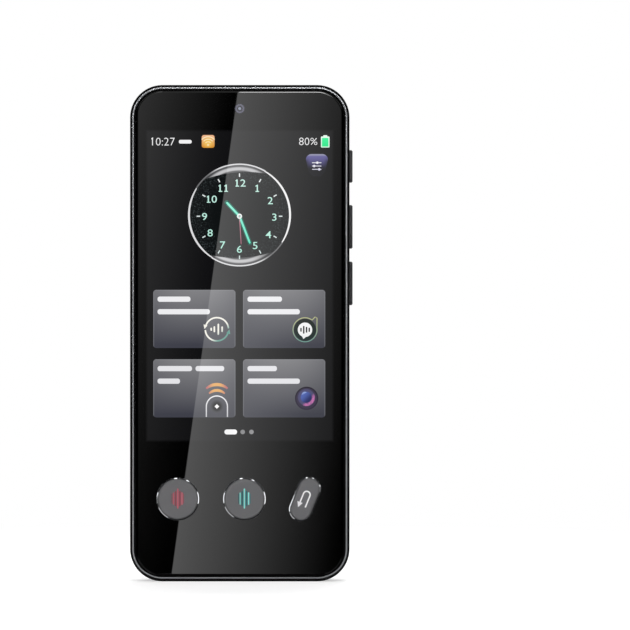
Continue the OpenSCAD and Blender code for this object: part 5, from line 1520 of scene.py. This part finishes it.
def ring_cards():
    """Upright cards seen only in gloss, which light arcs on the key rings.

    A ring's slope mirrors what stands at twice the slope from straight ahead, so a
    card's middle is at that angle and at its own turn round the line of sight.  The
    two side cards end short on their outer side, so the outermost ring misses each,
    and a small one lights the lower half of the pill ring's straight side.  Each row
    is a name, a turn, two shifts from there, half a width and a height, and a level.
    """
    away, tilt, lift = 0.62, 2 * RING_SLOPE, np.array([0.0, 0.0, 0.02])
    for name, turn, aside, onward, half_wide, half_tall, level in (
            ("right_ring_card", 0.0, -0.05, 0.0, 0.05, 0.135, 1.7),
            ("left_ring_card", 180.0, -0.021, 0.0, 0.049, 0.115, 1.5),
            ("lower_ring_card", 222.0, 0.0, 0.0, 0.06, 0.15, 0.7),
            ("pill_ring_card", 158.0, -0.029, 0.092, 0.021, 0.068, 1.6)):
        turn = math.radians(turn)
        out = np.array([math.cos(turn), 0.0, math.sin(turn)])
        along = np.array([-math.sin(turn), 0.0, math.cos(turn)])
        across = math.cos(tilt) * out + np.array([0.0, math.sin(tilt), 0.0])
        centre = away * (math.sin(tilt) * out + np.array([0.0, -math.cos(tilt), 0.0]))
        centre = centre + aside * across + onward * along + lift
        wide, tall = half_wide * across, half_tall * along
        corners = [centre - wide - tall, centre + wide - tall,
                   centre + wide + tall, centre - wide + tall]
        lit_card(name, [tuple(corner) for corner in corners],
                 Finish(bpy.data.materials.new(name + "_light")), level)


def lamp(name, place, power, size, high=None):
    """A soft box that faces the middle of the object and shows in no gloss."""
    data = bpy.data.lights.new(name, "AREA")
    data.shape, data.size, data.size_y = "RECTANGLE", size, high or size
    data.energy = power
    aim = np.array([0.0, 0.0, 0.07]) - np.array(place)
    turn = (math.atan2(math.hypot(aim[0], aim[1]), -aim[2]), 0.0, math.atan2(-aim[0], aim[1]))
    placed(name, data, place, turn).visible_glossy = False


def studio_lamps():
    """Soft boxes at the front left and right, above, and the same behind."""
    lamp("key_soft_box", (-0.32, -0.95, 0.60), 4.0, 0.5)
    lamp("fill_soft_box", (0.6, -0.8, 0.35), 1.7, 0.4)
    lamp("top_strip", (0.08, -0.12, 0.75), 1.3, 0.5, high=0.16)
    lamp("back_soft_box", (0.12, 0.9, 0.55), 3.9, 0.5)
    lamp("back_top_strip", (0.0, 0.3, 0.9), 2.2, 0.5, high=0.2)
    lamp("back_fill_box", (-0.3, 0.9, 0.2), 0.7, 0.4)


# ---- build --------------------------------------------------------------------------

bpy.context.scene.view_settings.view_transform = "Standard"
camera_view()
studio_world()
studio_floor()
slanted_card()
ring_cards()
studio_lamps()

dress_solids()

display_ground()
status_row()
quick_settings_tab()
clock_face()
tile_grounds()
tile_captions()
speech_sign()
bubble_sign()
beacon_sign()
lens_sign()
page_marks()

sound_bars("left_key_bars", "left_talk_key", (192, 92, 106), (146, 64, 78))
sound_bars("middle_key_bars", "middle_talk_key", (140, 230, 220), (22, 104, 108))
return_arrow()
key_ring_trim()
snap_domes()
front_camera_eye()

visual_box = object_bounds()
({"cad": [list(corner) for corner in cad_box],
           "visual": [list(corner) for corner in visual_box]})
